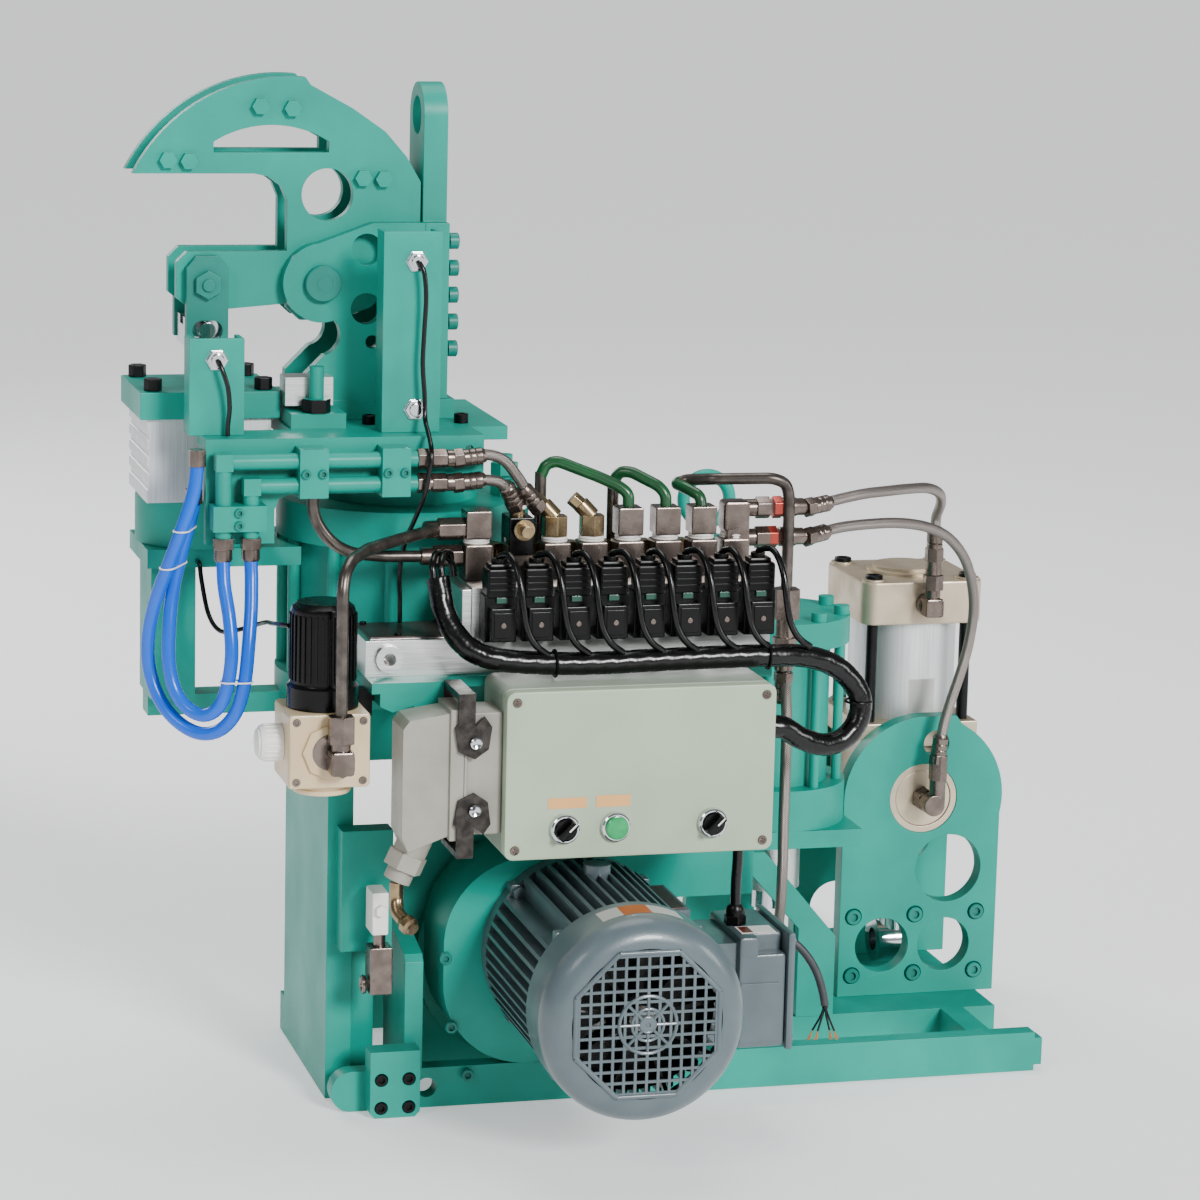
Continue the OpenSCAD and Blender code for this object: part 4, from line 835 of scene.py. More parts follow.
class ScrewOperator(bpy.types.Operator):
    """Cap screws of the plates and the flat screws of the lid"""

    bl_idname = "power_unit.screws"
    bl_label = "Screws"

    def execute(self, context):
        bm = bmesh.new()
        for x in (-246, -219):
            for z in (10, 38):
                socket_head(bm, (x, -58.4, z), (0, -1, 0), 6, 7.6)
        for x, y in ((-150, 60), (-240, 60), (-150, 200)):
            socket_head(bm, (x, y, 653.1), (0, 0, 1), 7, 8.9)
        close("cap_screws", bm, "oxide", "root", ["socket_screws"])
        bm = bmesh.new()
        for x in (301, 368.5, 436):
            for z in (48.5, 111.8):
                socket_head(bm, (x, 162.7, z), (0, -1, 0), 8, 8)
        for z in (720, 746, 772, 798, 824):
            socket_head(bm, (-155.9, 98, z), (1, 0, 0), 8, 9)
        for x, z in ((-174, 81), (-157, 32), (-30, 60), (-181, 150), (-20, 205)):
            socket_head(bm, (x, -43, z), (0, -1, 0), 6, 5)
        for x in (-321.5, -305.5, -243.5, -227.5):
            socket_head(bm, (x, -46.1, 623), (0, -1, 0), 4.4, 3.4)
        for z in (576, 588):
            socket_head(bm, (-384, -46.1, z), (0, -1, 0), 4.4, 3.4)
        close("painted_cap_screws", bm, "teal_dark", "root")
        bm = bmesh.new()
        for x in (-146, 94):
            for z in (287, 427):
                lathe(bm, [(0, 0.9), (1.6, 0.9), (2.4, 1.5), (4.0, 1.3), (4.6, 0.2), (4.6, -1),
                           (0, -1)], (x, -170.1, z), (0, -1, 0), 24)
                for turn in (0.4, 0.4 + math.pi / 2):
                    made = bmesh.ops.create_cube(bm, size=1.0, matrix=Matrix.Translation(
                        Vector((x, -171.4, z)) * MM) @ Matrix.Rotation(turn, 4, "Y")
                        @ Matrix.Diagonal((0.0052, 0.0009, 0.001, 1)))
                    ease(bm, made["verts"], 0.1)
        close("lid_screws", bm, "fitting", "root")
        return {"FINISHED"}


# Motor and gears


class MotorOperator(bpy.types.Operator):
    """Finned motor with its grille, fan, terminal box and blank plates"""

    bl_idname = "power_unit.motor"
    bl_label = "Motor"

    def execute(self, context):
        eased("motor_housing", "motor", "root", 0.8)
        paint("motor_stator", "winding")
        paint("motor_rotor", "gear")
        eased("cooling_fan", "black", "rotor", 0.5)
        self.cover(context.scene.power_unit.grille_pitch)
        self.box()
        self.trim()
        return {"FINISHED"}

    def cover(self, pitch):
        """Pressed cover: rounded skirt, wide rounded shoulder and a stamped square grille."""
        centre = (MOTOR_X, 0, MOTOR_Z)
        bm = bmesh.new()
        outside = [(97.0, -240.0), (97.0, -283.0)]
        for i in range(1, 9):
            a = math.radians(90 * i / 8)
            outside.append((73.0 + 24.0 * math.cos(a), -283.0 - 24.0 * math.sin(a)))
        inside = [(r - 2.5 if r > 73 else r, y + (2.5 if r < 95 else 0))
                  for r, y in reversed(outside)]
        profile = [(r, -y) for r, y in [*outside, (71.0, -307.0), (71.0, -304.5), *inside,
                                        (97.0, -240.0)]]
        lathe(bm, profile, centre, (0, -1, 0), 96)
        # ridge round the grille, eight sided
        for i in range(8):
            a, b = (math.radians(45 * k + 22.5) for k in (i, i + 1))
            middle_of_face = Vector((MOTOR_X, -307, MOTOR_Z))
            low = Vector((math.cos(a), 0, math.sin(a))) * 73 + middle_of_face
            high = Vector((math.cos(b), 0, math.sin(b))) * 73 + middle_of_face
            rod(bm, low, high, 2.6, sides=12)
        close("fan_cover_shell", bm, "motor", "root", ["fan_cover"])

        bm = bmesh.new()
        reach = 72 * math.cos(math.radians(22.5))
        count = int(reach // pitch)
        for i in range(-count, count + 1):
            at = i * pitch
            half = min(reach, 72 * math.sqrt(2) * math.cos(math.radians(22.5)) - abs(at))
            half = max(half, 10)
            x, z = MOTOR_X + at, MOTOR_Z + at
            brick(bm, (x - 1.3, -308.4, MOTOR_Z - half), (x + 1.3, -306.4, MOTOR_Z + half))
            brick(bm, (MOTOR_X - half, -308.2, z - 1.3), (MOTOR_X + half, -306.6, z + 1.3))
        for major, minor in ((27, 1.8), (15, 1.5), (7, 1.5)):
            torus(bm, (MOTOR_X, -308, MOTOR_Z), (0, 1, 0), major, minor, steps=32, sides=8)
        for i in range(8):
            a = math.radians(45 * i)
            way = Vector((math.cos(a), 0, math.sin(a)))
            hub = Vector((MOTOR_X, -308.2, MOTOR_Z))
            rod(bm, hub + way * 8, hub + way * 27, 1.5, sides=8)
        lathe(bm, [(0, 0), (6.5, 0), (6.5, 2.2), (2.5, 2.2), (2.5, 1.2), (0, 1.2)],
              (MOTOR_X, -307, MOTOR_Z), (0, -1, 0), 24)
        close("fan_grille", bm, "motor", "root")

    def box(self):
        """Terminal box with a notched lid corner, its cover plate and cable glands."""
        bm = bmesh.new()
        brick(bm, (72, -180, 86), (119, -78, 178), 4)
        brick(bm, (72, -164, 172), (119, -78, 195), 4)
        brick(bm, (72, -180, 172), (92, -160, 195), 4)
        brick(bm, (119.4, -183, 83), (127, -75, 198), 3)
        brick(bm, (74, -181.6, 92), (112, -180.5, 150), 1)
        for y, z in ((-176, 92), (-82, 92), (-176, 189), (-82, 189)):
            rod(bm, (126, y, z), (127.8, y, z), 4.2, sides=20)
        close("terminal_box_shell", bm, "motor", "root", ["terminal_box"])
        bm = bmesh.new()
        hex_head(bm, (82, -130, 195), (0, 0, 1), 19, 9)
        lathe(bm, [(0, 0), (9, 0), (9, 6), (6.5, 10), (0, 10)], (82, -130, 204), (0, 0, 1), 24)
        close("terminal_gland", bm, "black", "root")

    def trim(self):
        """Blank plates and stickers, the housing lugs and their bolts."""
        bm = bmesh.new()
        brick(bm, (-24, -206, 233.8), (10, -126, 235), 0.4)
        close("motor_name_plate", bm, "plate", "root")
        # sticker wrapped over the shoulder of the cover
        for name, first, last, key in (("sticker_left", 112, 100, "paper"),
                                       ("sticker_band", 100, 84, "amber"),
                                       ("sticker_right", 84, 66, "paper")):
            bm = bmesh.new()
            rings = []
            for i in range(9):
                a = math.radians(first + (last - first) * i / 8)
                way = Vector((math.cos(a), 0, math.sin(a)))
                rings.append([bm.verts.new((Vector((MOTOR_X, y, MOTOR_Z)) + way * 97.25) * MM)
                              for y in (-279, -252)])
            for p, q in zip(rings, rings[1:]):
                bm.faces.new((p[0], p[1], q[1], q[0]))
            bmesh.ops.solidify(bm, geom=bm.faces, thickness=0.0002)
            close(name, bm, key, "root")
        bm = bmesh.new()
        brick(bm, (78, -166, 195.1), (112, -142, 195.5))
        close("terminal_box_sticker", bm, "paper", "root")
        bm = bmesh.new()
        brick(bm, (80, -164, 195.5), (90, -144, 195.7))
        close("terminal_box_sticker_mark", bm, "sleeve", "root")
        bm = bmesh.new()
        for a in (45, 135, 225, 315):
            turn = math.radians(a)
            place = Vector((MOTOR_X + 86 * math.cos(turn), -61, MOTOR_Z + 86 * math.sin(turn)))
            brick(bm, place + Vector((-8, -2, -8)), place + Vector((8, 16, 8)), 2)
            hex_head(bm, place + Vector((0, -2, 0)), (0, -1, 0), 13, 7)
            back = Vector((MOTOR_X + 91 * math.cos(turn), -240, MOTOR_Z + 91 * math.sin(turn)))
            brick(bm, back + Vector((-6, 1, -6)), back + Vector((6, 14, 6)), 2)
            rod(bm, back + Vector((0, -2, 0)), back + Vector((0, 2, 0)), 4, sides=16)
        close("motor_lugs", bm, "motor", "root")


class GearOperator(bpy.types.Operator):
    """Pinion and output gear inside the case"""

    bl_idname = "power_unit.gears"
    bl_label = "Gears"

    def execute(self, context):
        paint("drive_pinion", "gear")
        paint("driven_gear", "gear")
        return {"FINISHED"}


# Control box and connector


def rounded_plate(bm, x, y, z, corner, bevel, steps=6):
    """Plate in the XZ plane with round corners, in mm."""
    ring = []
    for cx, cz, first in ((x[1] - corner, z[0] + corner, -90), (x[1] - corner, z[1] - corner, 0),
                          (x[0] + corner, z[1] - corner, 90), (x[0] + corner, z[0] + corner, 180)):
        for i in range(steps + 1):
            a = math.radians(first + 90 * i / steps)
            ring.append((cx + corner * math.cos(a), cz + corner * math.sin(a)))
    verts = [bm.verts.new((px * MM, y[0] * MM, pz * MM)) for px, pz in ring]
    face = bm.faces.new(verts)
    made = bmesh.ops.extrude_face_region(bm, geom=[face])
    moved = [v for v in made["geom"] if isinstance(v, bmesh.types.BMVert)]
    bmesh.ops.translate(bm, vec=(0, (y[1] - y[0]) * MM, 0), verts=moved)
    if bevel:
        ease(bm, [*verts, *moved], bevel)


def rounded_head(bm, x, y, z, corner, bevel, steps=8):
    """Square casting in plan with round upright corners, in mm."""
    flat = bmesh.new()
    rounded_plate(flat, x, (-z[1], -z[0]), y, corner, bevel, steps)
    flat.transform(Matrix(((1, 0, 0, 0), (0, 0, 1, 0), (0, -1, 0, 0), (0, 0, 0, 1))))
    mesh = bpy.data.meshes.new("part")
    flat.to_mesh(mesh)
    flat.free()
    bm.from_mesh(mesh)
    bpy.data.meshes.remove(mesh)


class ControlBoxOperator(bpy.types.Operator):
    """Die-cast box with its lid, bezels, switches, button and blank labels"""

    bl_idname = "power_unit.control_box"
    bl_label = "Control box"

    def execute(self, context):
        bm = bmesh.new()
        rounded_plate(bm, (-156, 104), (-153.2, -80), (277, 437), 9, 1.2)
        rounded_plate(bm, (-153, 101), (-155.5, -152), (280, 434), 8, 0.4)
        close("control_box_shell", bm, "box", "root", ["control_box_body"])
        bm = bmesh.new()
        brick(bm, (-190, -156, 300), (-156, -108, 416), 2)
        brick(bm, (-193, -160, 296), (-190, -104, 420), 1.2)
        for z in (390, 326):
            rod(bm, (-184, -169, z), (-184, -100.6, z), 4, sides=24, bevel=0.6)
        close("connector_socket", bm, "hood", "root")
        bm = bmesh.new()
        brick(bm, (-140, -80, 300), (90, -72, 424), 1)
        close("box_bracket", bm, "teal", "root")
        bm = bmesh.new()
        rounded_plate(bm, (-156, 104), (-170, -155.2), (277, 437), 9, 2.2)
        close("control_box_cover", bm, "lid", "root", ["control_box_lid"])
        self.bezels()
        self.switch("selector_left_knob", -99, "left_switch", "selector_left")
        self.switch("selector_right_knob", 44, "right_switch", "selector_right")
        bm = bmesh.new()
        lathe(bm, [(0, 11.0), (6, 10.8), (9.6, 10.3), (10.8, 9.2), (11, 8), (11, 4.5), (6, 4.5),
                   (6, -8), (0, -8)], (-50, -170, OPERATOR_Z), (0, -1, 0), 48)
        close("button_cap", bm, "green", "button", ["push_button"])
        bm = bmesh.new()
        brick(bm, (-115, -170.5, 325.5), (-78, -169.9, 335.5))
        brick(bm, (-69, -170.5, 325.5), (-36, -169.9, 336.5))
        close("blank_labels", bm, "label", "root")
        return {"FINISHED"}

    def bezels(self):
        """Chromed bezel rings of the three operators."""
        bm = bmesh.new()
        for x in (-99, 44, -50):
            lathe(bm, [(11.3, 0), (14.5, 0), (14.5, 1.5), (13.6, 5.2), (12.4, 6.2), (11.3, 6.2),
                       (11.3, 0)], (x, -170, OPERATOR_Z), (0, -1, 0), 48)
        close("operator_bezels", bm, "chrome", "root")

    def switch(self, name, x, body, node):
        """Selector knob: a round base with a tapered finger grip that points up and to a side."""
        bm = bmesh.new()
        turn = Matrix.Translation(Vector((x, 0, OPERATOR_Z)) * MM) @ Matrix.Rotation(
            math.radians(45), 4, "Y")
        lathe(bm, [(0, 8), (9.6, 8), (11, 7), (11, 2), (8, 2), (8, -14), (0, -14)],
              (0, -170, 0), (0, -1, 0), 48)
        brick(bm, (-3.6, -188, -10.6), (3.6, -177.5, 11), 1.6)
        bm.transform(turn)
        close(name, bm, "black", body, [node])
        bm = bmesh.new()
        brick(bm, (-0.7, -188.25, 1), (0.7, -187.8, 10.5))
        bm.transform(turn)
        close(name + "_mark", bm, "white", body)


class ConnectorOperator(bpy.types.Operator):
    """Rectangular connector hood with its gland and two locking levers"""

    bl_idname = "power_unit.connector"
    bl_label = "Connector"

    def execute(self, context):
        eased("connector_hood", "hood", "root", 1.6)
        eased("latch_upper", "latch", "upper_lever", 0.6)
        eased("latch_lower", "latch", "lower_lever", 0.6)
        bm = bmesh.new()
        for z in (390, 326):
            lathe(bm, [(0, 0.4), (2, 0.4), (4.5, 1.4), (5.6, 0.6), (5.6, -0.5), (0, -0.5)],
                  (-184, -169.2, z), (0, -1, 0), 24)
        close("lever_pins", bm, "chrome", "root")
        # elbow and small cylinder that hang under the gland
        bm = bmesh.new()
        path, _ = smooth_path([(-249, -132, 252), (-249, -132, 236), (-249, -138, 225),
                               (-245, -146, 219)], 2)
        sweep(bm, path, 13, 20)
        lathe(bm, [(0, 0), (9, 0), (9, 6), (6, 8), (6, 11), (0, 11)], (-243, -150, 217),
              (0.45, -0.8, -0.4), 24)
        close("gland_elbow", bm, "brass", "root")
        bm = bmesh.new()
        brick(bm, (-256, -60, 180), (-240, -28, 222), 2)
        rod(bm, (-248, -60, 205), (-248, -66, 205), 6, sides=6, bevel=0.6)
        close("small_valve", bm, "white", "root")
        bm = bmesh.new()
        rod(bm, (-247, -50, 180), (-247, -50, 168), 6, sides=24)
        brick(bm, (-258, -62, 122), (-236, -38, 168), 1.5)
        torus(bm, (-262, -50, 130), (1, 0, 0), 7, 2.4, steps=24, sides=8)
        close("small_cylinder", bm, "fitting", "root")
        return {"FINISHED"}


# Filter, manifold, valves and fittings


class FilterOperator(bpy.types.Operator):
    """Cast filter regulator with its ribbed black cap, side knob and lower bowl"""

    bl_idname = "power_unit.filter"
    bl_label = "Filter regulator"

    def execute(self, context):
        x, y = -317, -112
        bm = bmesh.new()
        brick(bm, (x - 38, y - 38, 348), (x + 38, y + 38, 418), 3.5)
        lathe(bm, [(0, 0), (26.5, 0), (27, 1), (27, 4), (25.5, 5), (27, 6), (27, 9.5), (0, 9.5)],
              (x, y, 338.2), (0, 0, 1), 48)
        rod(bm, (x, y - 42, 383), (x, y - 37, 383), 26, sides=8, bevel=1.0)
        close("filter_casting", bm, "cream", "root", ["filter_body"])
        bm = bmesh.new()
        for sx in (-1, 1):
            for sz in (-1, 1):
                lathe(bm, [(0, 0.8), (1.4, 0.8), (1.8, 1.4), (3.4, 1.4), (3.8, 0.6), (3.8, -1),
                           (0, -1)], (x + sx * 31, y - 38, 383 + sz * 28), (0, -1, 0), 20)
        rod(bm, (x, y - 43, 383), (x, y - 41, 383), 17, sides=32, bevel=0.4)
        close("filter_screws", bm, "fitting", "root")
        bm = bmesh.new()
        lathe(bm, [(0, 0), (20, 0), (20, 56), (33.4, 56.3), (33.4, 76), (31.4, 78), (30.4, 80),
                   (30, 146), (28.6, 150), (26, 152), (24, 154), (0, 154)],
              (x, y, 362), (0, 0, 1), 64)
        for i in range(32):
            a = math.tau * i / 32
            brick_at = Matrix.Translation(Vector((x, y, 475)) * MM) @ Matrix.Rotation(a, 4, "Z")
            made = bmesh.ops.create_cube(bm, size=1.0, matrix=brick_at @ Matrix.Translation(
                (0.0305, 0, 0)) @ Matrix.Diagonal((0.0022, 0.0024, 0.062, 1)))
            ease(bm, made["verts"], 0.5)
        close("filter_cap_ribbed", bm, "black", "regulator_cap",
              ["filter_cap"])
        bm = bmesh.new()
        lathe(bm, [(0, 0.3), (17, 0.3), (17, 18), (15.5, 21), (13, 21.5), (13, 23), (11, 24),
                   (0, 24)], (x - 38, y, 385), (-1, 0, 0), 48)
        for i in range(20):
            a = math.tau * i / 20
            way = Vector((0, math.cos(a), math.sin(a)))
            low = Vector((x - 41, y, 385)) + way * 16.6
            rod(bm, low, low + Vector((-14, 0, 0)), 1.1, sides=8)
        close("filter_knob_ribbed", bm, "white", "regulator_knob",
              ["filter_side_knob"])
        return {"FINISHED"}


class ManifoldOperator(bpy.types.Operator):
    """Milled manifold bar, valve block and hard tubes"""

    bl_idname = "power_unit.manifold"
    bl_label = "Manifold and tubes"

    def execute(self, context):
        eased_parts("manifold_bar", ["milled", "plate"], "root", 0.8,
                    lambda c: int(c.z > 468.2), each_face=True)
        eased_parts("valve_block", ["milled", "oxide"], "root", 0.8,
                    lambda c: int(c.x < -168))
        bm = bmesh.new()
        for x, y in ((-256, 2), (-184, 2), (-190, -54), (-234, -54)):
            rod(bm, (x, y, 470), (x, y, 472.5), 3.4, sides=20, bevel=0.5)
        close("plate_rivets", bm, "oxide", "root")
        bm = bmesh.new()
        for z in (445, 457):
            lathe(bm, [(0, 0), (3.2, 0), (5.4, 0.2), (5.4, 1.2), (0, 1.2)], (-252, -70.6, z),
                  (0, -1, 0), 24)
        close("bar_port_screws", bm, "fitting", "root")

        tubes = (
            ("green_tube_left", [(-3, -20, 578), (-3, -20, 594), (-12, -16, 601), (-30, -9, 609),
                                 (-68, 4, 623), (-78, 7, 620), (-83, 8, 608)], "green_tube"),
            ("bare_tube_left", [(-83, 8, 612), (-83, 8, 516.1)], "dark_tube"),
            ("green_tube_middle", [(34, -20, 578), (34, -20, 592), (28, -16, 600), (4, 0, 612),
                                   (-6, 6, 611), (-11, 8, 600)], "green_tube"),
            ("bare_tube_middle", [(-11, 8, 604), (-11, 8, 516.1)], "dark_tube"),
            ("green_tube_right", [(70, -20, 578), (69, -18, 590), (58, -4, 596), (52, 8, 598),
                                  (56, 8, 600.5)], "green_tube"),
            ("bare_tube_right", [(54, 8, 599), (62, 6, 602), (84, -16, 606), (138, -30, 608),
                                 (151, -30, 603), (155, -30, 590), (155, -30, 499)], "dark_tube"),
            ("tube_from_plate", [(-311, -26, 599), (-311, -26, 588), (-308, -26, 576),
                                 (-300, -25, 563), (-288, -24, 551), (-272, -22, 543),
                                 (-240, -20, 539), (-192, -20, 538)], "dark_tube"),
            ("tube_from_filter", [(-188, -20, 564), (-200, -30, 564), (-236, -64, 563),
                                  (-276, -110, 563), (-298, -146, 560), (-307, -160, 550),
                                  (-310, -166, 534), (-310, -166, 418)], "dark_tube"),
        )
        for name, route, finish in tubes:
            bm = bmesh.new()
            sweep(bm, [p * MM for p in self.rounded(route)], HARD_TUBE)
            made = close(name, bm, finish, "root")
            if name == "green_tube_left":
                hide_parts("steel_tubes")
        return {"FINISHED"}

    def rounded(self, route):
        """The route with each bend cut into a short even arc."""
        route = [Vector(p) for p in route]
        made = [route[0]]
        for a, b, c in zip(route, route[1:], route[2:]):
            reach = min((b - a).length, (c - b).length, 16) * 0.45
            first, last = b + (a - b).normalized() * reach, b + (c - b).normalized() * reach
            for i in range(6):
                t = i / 5
                made.append(first.lerp(b, t).lerp(b.lerp(last, t), t))
        made.append(route[-1])
        return made


class ValveOperator(bpy.types.Operator):
    """Row of solenoid valves with their windows, plugs and screws"""

    bl_idname = "power_unit.valves"
    bl_label = "Solenoid valves"

    def execute(self, context):
        bodies, plugs, windows, screws = (bmesh.new() for _ in range(4))
        for i in range(context.scene.power_unit.valves):
            x = VALVE_FIRST_X + VALVE_PITCH * i
            brick(bodies, (x - 15.5, -92, 468), (x + 15.5, -70.1, 512), 1.2)
            brick(bodies, (x - 14, -95, 510), (x + 14, -70.1, 538), 3)
            brick(bodies, (x - 11, -90, 537), (x + 11, -72, 542), 2)
            rod(bodies, (x, -80, 541), (x, -80, 546), 7, sides=24, bevel=0.8)
            for k in range(3):
                brick(bodies, (x - 12, -96, 516 + 6 * k), (x + 12, -94.4, 519 + 6 * k), 0.6)
            brick(plugs, (x - 12, -103, 470), (x + 12, -91.6, 502), 1.6)
            brick(plugs, (x - 9, -104, 474), (x + 9, -102.6, 498), 0.8)
            brick(windows, (x - 5, -95.6, 505.6), (x + 5, -92.6, 511), 0.4)
            rod(screws, (x, -105, 486), (x, -103.4, 486), 2.6, sides=16, bevel=0.4)
            lathe(screws, [(0, 0), (3.6, 0), (3.6, 1.6), (2.4, 3), (0, 3.4)],
                  (x + 18.1, -71, 473), (0, -1, 0), 16)
        close("valve_bodies", bodies, "coil", "root", ["solenoid_valves"])
        close("valve_plugs", plugs, "black", "root")
        close("valve_windows", windows, "lens", "root")
        close("valve_screws", screws, "fitting", "root")
        return {"FINISHED"}


class FittingOperator(bpy.types.Operator):
    """Steel and brass fittings with tape rings, elbows and nuts on the manifold"""

    bl_idname = "power_unit.fittings"
    bl_label = "Fittings"

    def execute(self, context):
        steel, brass, tape = bmesh.new(), bmesh.new(), bmesh.new()
        for x in (-152, -112, -75.5, -39, -3, 34, 70, 102):
            brick(steel, (x - 13.5, -34, 516), (x + 13.5, -6, 550), 2.2)
            lathe(tape, [(0, 0), (11.5, 0), (12.6, 1.2), (12.2, 2.6), (12.8, 3.6), (11.8, 5.4),
                         (0, 5.4)], (x, -20, 549.6), (0, 0, 1), 32)
        for x in (-152, -3, 34, 70):
            brick(steel, (x - 12.5, -32.5, 555), (x + 12.5, -7.5, 582), 1.8)
        for x in (-75.5, -39):
            hex_head(brass, (x, -20, 555), (0, 0, 1), 22, 20)
            rod(brass, (x, -20, 573), (x - 11, -17, 585), 8.5, sides=24, bevel=0.8)
            rod(brass, (x - 9, -17.6, 582), (x - 19, -15, 591), 7.5, sides=6, bevel=0.6)
        # flow control and its angled upper nipple
        rod(brass, (-112, -20, 572), (-113, -20, 588), 7.5, sides=24, bevel=0.8)
        rod(steel, (-113, -20, 586), (-121, -22, 596), 7, sides=6, bevel=0.6)
        lathe(tape, [(0, 0), (7.6, 0), (8.4, 1), (8.2, 4), (0, 4)], (-112, -20, 582), (0, 0, 1),
              24)
        # back row between the columns
        for x in (-132, -94, -57, -21, 15, 52):
            hex_head(brass, (x, 3, 516), (0, 0, 1), 18, 30)
        # right end: one elbow over the other
        brick(steel, (90, -32, 556), (116, -8, 586), 3.5)
        for z in (578, 549):
            rod(steel, (112, -20, z), (124, -20, z), 8.5, sides=24, bevel=0.6)
            rod(steel, (124, -20, z), (138, -20, z), 11, sides=6, bevel=0.9)
            lathe(steel, [(0, 0), (8.4, 0), (9.4, 1), (9.4, 8), (8.6, 9), (9.4, 10), (9.4, 16),
                          (8.4, 18), (8.4, 24), (7.2, 26), (7.2, 34), (6, 36), (0, 36)],
                  (148, -20, z), (1, 0, 0), 32)
        brick(steel, (92, -32, 536), (116, -8, 561), 3)
        # stack over and under the bar end for the drop hose
        rod(steel, (155, -30, 436), (155, -30, 452), 12.6, sides=6, bevel=1.0)
        lathe(steel, [(0, 0), (9, 0), (9, 22), (0, 22)], (155, -30, 450), (0, 0, 1), 32)
        rod(steel, (155, -30, 470), (155, -30, 500), 14, sides=6, bevel=1.0)
        lathe(steel, [(0, 0), (8.5, 0), (9.5, 1.5), (9.5, 6), (8.6, 7), (9.5, 8), (9.5, 16),
                      (7, 19), (7, 32), (0, 32)], (155, -30, 436), (0, 0, -1), 32)
        # trunnion elbow
        rod(steel, (373, 159, 236), (373, 142, 236), 13, sides=6, bevel=0.9)
        rod(steel, (373, 142.2, 236), (373, 122, 236), 11, sides=32, bevel=1.2)
        rod(steel, (378, 131, 232), (378, 131, 264), 8.4, sides=32, bevel=0.8)
        rod(steel, (378, 131, 262), (378, 131, 288), 9.8, sides=6, bevel=0.8)
        # filter port elbow
        rod(steel, (-310, -152, 376), (-310, -176, 376), 13, sides=6, bevel=1.0)
        brick(steel, (-321, -178, 365), (-299, -156, 388), 3)
        rod(steel, (-310, -166, 386), (-310, -166, 396), 9, sides=32)
        rod(steel, (-310, -166, 394), (-310, -166, 420), 13, sides=6, bevel=1.0)
        # nuts on the tubes that enter the left column
        for z, low, high in ((538, -194, -166), (564, -190, -164)):
            rod(steel, (low, -20, z), (high, -20, z), 11, sides=6, bevel=0.9)
            rod(steel, (low - 12, -20 if z == 538 else -24, z), (low, -20, z), 8.4, sides=32,
                bevel=0.6)
        # pipe ends at the left of the plate, hose ends on its pipes
        for y, z, high in ((-32, 630, 646), (-12, 592, 606)):
            rod(steel, (-421, y, z), (-421, y, high), 8.6, sides=6, bevel=0.6)
        for z in (634, 611):
            lathe(steel, [(0, 0), (7.4, 0), (8.2, 1), (8.2, 7), (7.6, 8), (8.2, 9), (8.2, 16),
                          (0, 16)], (-186, -35, z), (1, 0, 0), 32)
            rod(steel, (-214, -35, z), (-202, -35, z), 10, sides=6, bevel=0.8)
            rod(steel, (-200, -35, z), (-186, -35, z), 9.4, sides=6, bevel=0.8)
            rod(steel, (-214, -35, z), (-186, -35, z), 7.5, sides=24)
        for x in (-397, -371):
            rod(steel, (x, -35, 552), (x, -35, 563), 10.5, sides=6, bevel=0.8)
            lathe(steel, [(0, 0), (8, 0), (8.6, 1), (8.6, 10), (7.6, 12), (0, 12)], (x, -35, 553),
                  (0, 0, -1), 32)
        close("steel_fittings", steel, "fitting", "root", ["port_fittings"])
        close("brass_fittings", brass, "brass", "root")
        close("tape_rings", tape, "tape", "root")
        bm = bmesh.new()
        rod(bm, (141, -20, 578), (150, -20, 578), 11.2, sides=6, bevel=0.9)
        rod(bm, (137, -20, 549), (146, -20, 549), 11.0, sides=6, bevel=0.9)
        close("coupling_nuts", bm, "sleeve", "root")

        # needle valve body stands before its block and carries the turning knob
        bm = bmesh.new()
        brick(bm, (-124, -38, 540), (-100, -4, 576), 1.5)
        close("flow_control_body", bm, "black", "root")
        bm = bmesh.new()
        rod(bm, (-112, -50, 566), (-112, -38.3, 566), 7, sides=6, bevel=0.6)
        rod(bm, (-112, -62, 566), (-112, -50, 566), 6, sides=24, bevel=0.8)
        lathe(bm, [(0, 0), (10, 0), (10, 3), (0, 3)], (-112, -46, 566), (0, -1, 0), 24)
        close("flow_control_needle", bm, "brass", "throttle_knob",
              ["needle_knob"])
        ferrules("hose_ferrules", (
            ((-170, -35, 634), (1, 0, 0.1)), ((-170, -35, 611), (1, 0, 0.1)),
            ((182, -20, 578), (0.9, 0.3, 0.1)), ((182, -20, 549), (0.9, 0.45, 0.1)),
            ((378, 131, 288), (0.1, 0, 1)), ((-96, -21, 588), (-0.5, -0.2, 0.6)),
            ((-117, -23, 590), (-0.4, -0.3, 0.7)), ((155, -30, 408), (0, 0, -1)),
            ((174, 26, 142), (-0.3, -1, 0.1)),
        ))
        return {"FINISHED"}


# Jaw, cylinders and lifting points


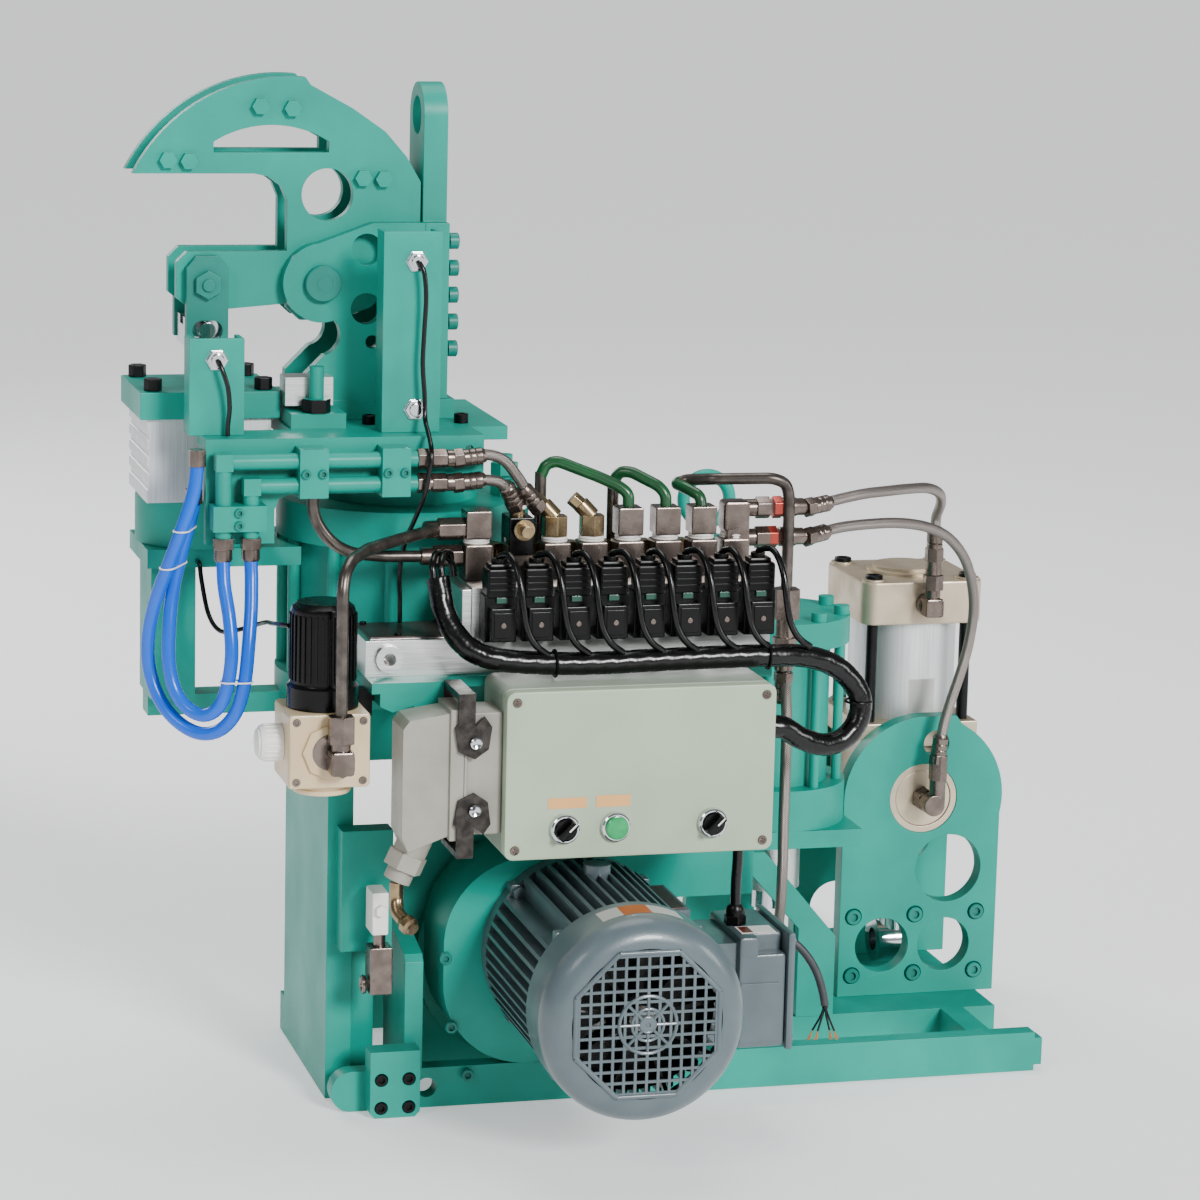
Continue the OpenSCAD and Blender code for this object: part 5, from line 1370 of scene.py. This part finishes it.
class JawOperator(bpy.types.Operator):
    """Hooked jaw plates, their pivot, link and rod"""

    bl_idname = "power_unit.jaw"
    bl_label = "Jaw and linkage"

    def execute(self, context):
        width = context.scene.power_unit.edge
        eased("jaw_plates", "teal", "jaw", width)
        eased("pivot_pin", "teal_dark", "root", 1.2)
        eased_parts("link_plates", ["teal_dark", "fitting"], "link", width,
                    lambda c: int(abs(c.z - 784) < 0.5))
        eased_parts("jaw_rod", ["dark_tube", "chrome"], "jaw_ram", 0.8,
                    lambda c: int(c.z < 705))
        eased("eyebolt", "teal", "root", 1.0)
        bm = bmesh.new()
        lathe(bm, [(0, 0), (6, 0), (6, -2), (9, -2), (9, 0), (16.5, 0), (17.5, -1), (17.5, -6),
                   (0, -6)], (-281, 82.5, 785), (0, -1, 0), 48)
        close("pivot_cap", bm, "teal_dark", "root")
        bm = bmesh.new()
        rod(bm, (-391, 86, 784), (-391, 91, 784), 14, sides=6, bevel=1.0)
        rod(bm, (-391, 83, 784), (-391, 88, 784), 6, sides=24, bevel=0.8)
        close("link_pin_head", bm, "teal_dark", "link")
        return {"FINISHED"}


class RamOperator(bpy.types.Operator):
    """Lift cylinder with its cast head, drawn tube, tie rods and rod, and the inner rams"""

    bl_idname = "power_unit.rams"
    bl_label = "Lift cylinder and rams"

    def execute(self, context):
        x, y = 373, 243
        bm = bmesh.new()
        rounded_head(bm, (x - 66, x + 66), (y - 66, y + 66), (416, 461), 16, 2.5)
        for sx in (-1, 1):
            for sy in (-1, 1):
                rod(bm, (x + sx * 51, y + sy * 51, 460), (x + sx * 51, y + sy * 51, 463), 12.5,
                    sides=32, bevel=0.8)
        lathe(bm, [(0, 0), (40, 0), (40, 4), (34, 5), (34, 8), (30, 9), (0, 9)],
              (x, y, 460), (0, 0, 1), 64)
        close("lift_head_casting", bm, "champagne", "lift_cylinder",
              ["lift_cylinder_head"])
        bm = bmesh.new()
        for sx in (-1, 1):
            for sy in (-1, 1):
                socket_head(bm, (x + sx * 51, y + sy * 51, 461), (0, 0, 1), 9, 6)
        close("lift_head_screws", bm, "oxide", "lift_cylinder")
        bm = bmesh.new()
        lathe(bm, [(0, 0), (12, 0), (12, 10), (9, 12), (9, 26), (0, 26)], (375, 177, 438),
              (0, -1, 0), 32)
        brick(bm, (365, 149, 428), (385, 171, 448), 3)
        rod(bm, (375, 160, 446), (375, 160, 458), 8, sides=32)
        rod(bm, (375, 160, 456), (375, 160, 472), 11, sides=6, bevel=0.8)
        rod(bm, (375, 160, 472), (375, 160, 488), 8.4, sides=32, bevel=0.6)
        rod(bm, (375, 160, 486), (375, 160, 500), 10, sides=6, bevel=0.8)
        lathe(bm, [(0, 0), (8, 0), (8.4, 1), (8.4, 6), (7.6, 7), (8.4, 8), (8.4, 20), (6.6, 24),
                   (0, 24)], (375, 160, 498), (0, 0, 1), 32)
        close("lift_head_fitting", bm, "fitting", "lift_cylinder")
        eased_parts("lift_cylinder_tube", ["tube", "oxide"], "lift_cylinder", 0.6,
                    lambda c: int(abs(c.x - x) >= 2))
        bm = bmesh.new()
        ring = []
        for i in range(9):
            a = math.radians(-100 + 30 * i / 8)
            ring.append([bm.verts.new(Vector((x + 56.2 * math.cos(a), y + 56.2 * math.sin(a), z))
                                      * MM) for z in (322, 356)])
        for p, q in zip(ring, ring[1:]):
            bm.faces.new((p[0], q[0], q[1], p[1]))
        bmesh.ops.solidify(bm, geom=bm.faces, thickness=0.0002)
        close("tube_sticker", bm, "paper", "lift_cylinder")
        eased("lift_cylinder_block", "champagne", "lift_cylinder", 1.5)
        eased("lift_piston_rod", "chrome", "lift_rod", 0.8)
        paint("drum_piston", "chrome")
        paint("stroke_rod", "chrome")
        return {"FINISHED"}


# Registration


class PowerUnitPanel(bpy.types.Panel):
    """Lists every step that makes the power unit"""

    bl_idname = "VIEW3D_PT_power_unit"
    bl_label = "Hydraulic power unit"
    bl_space_type = "VIEW_3D"
    bl_region_type = "UI"
    bl_category = "Power Unit"

    def draw(self, context):
        settings = context.scene.power_unit
        for name in ("edge", "grille_pitch", "valves", "floor"):
            self.layout.prop(settings, name)
        for step in STEPS:
            self.layout.operator(step.bl_idname)


STEPS = (StageOperator, HoseOperator, PlateOperator, ScrewOperator, MotorOperator, GearOperator,
         ControlBoxOperator, ConnectorOperator, FilterOperator, ManifoldOperator, ValveOperator,
         FittingOperator, JawOperator, RamOperator)
CLASSES = (UnitSettings, *STEPS, PowerUnitPanel)
MATERIALS = {}


def register():
    for item in CLASSES:
        bpy.utils.register_class(item)
    bpy.types.Scene.power_unit = PointerProperty(type=UnitSettings)


def unregister():
    del bpy.types.Scene.power_unit
    for item in reversed(CLASSES):
        bpy.utils.unregister_class(item)


def main():
    register()
    MATERIALS.update(make_materials())
    for step in STEPS:
        group, name = step.bl_idname.split(".")
        getattr(getattr(bpy.ops, group), name)()


if __name__ == "__main__":
    main()
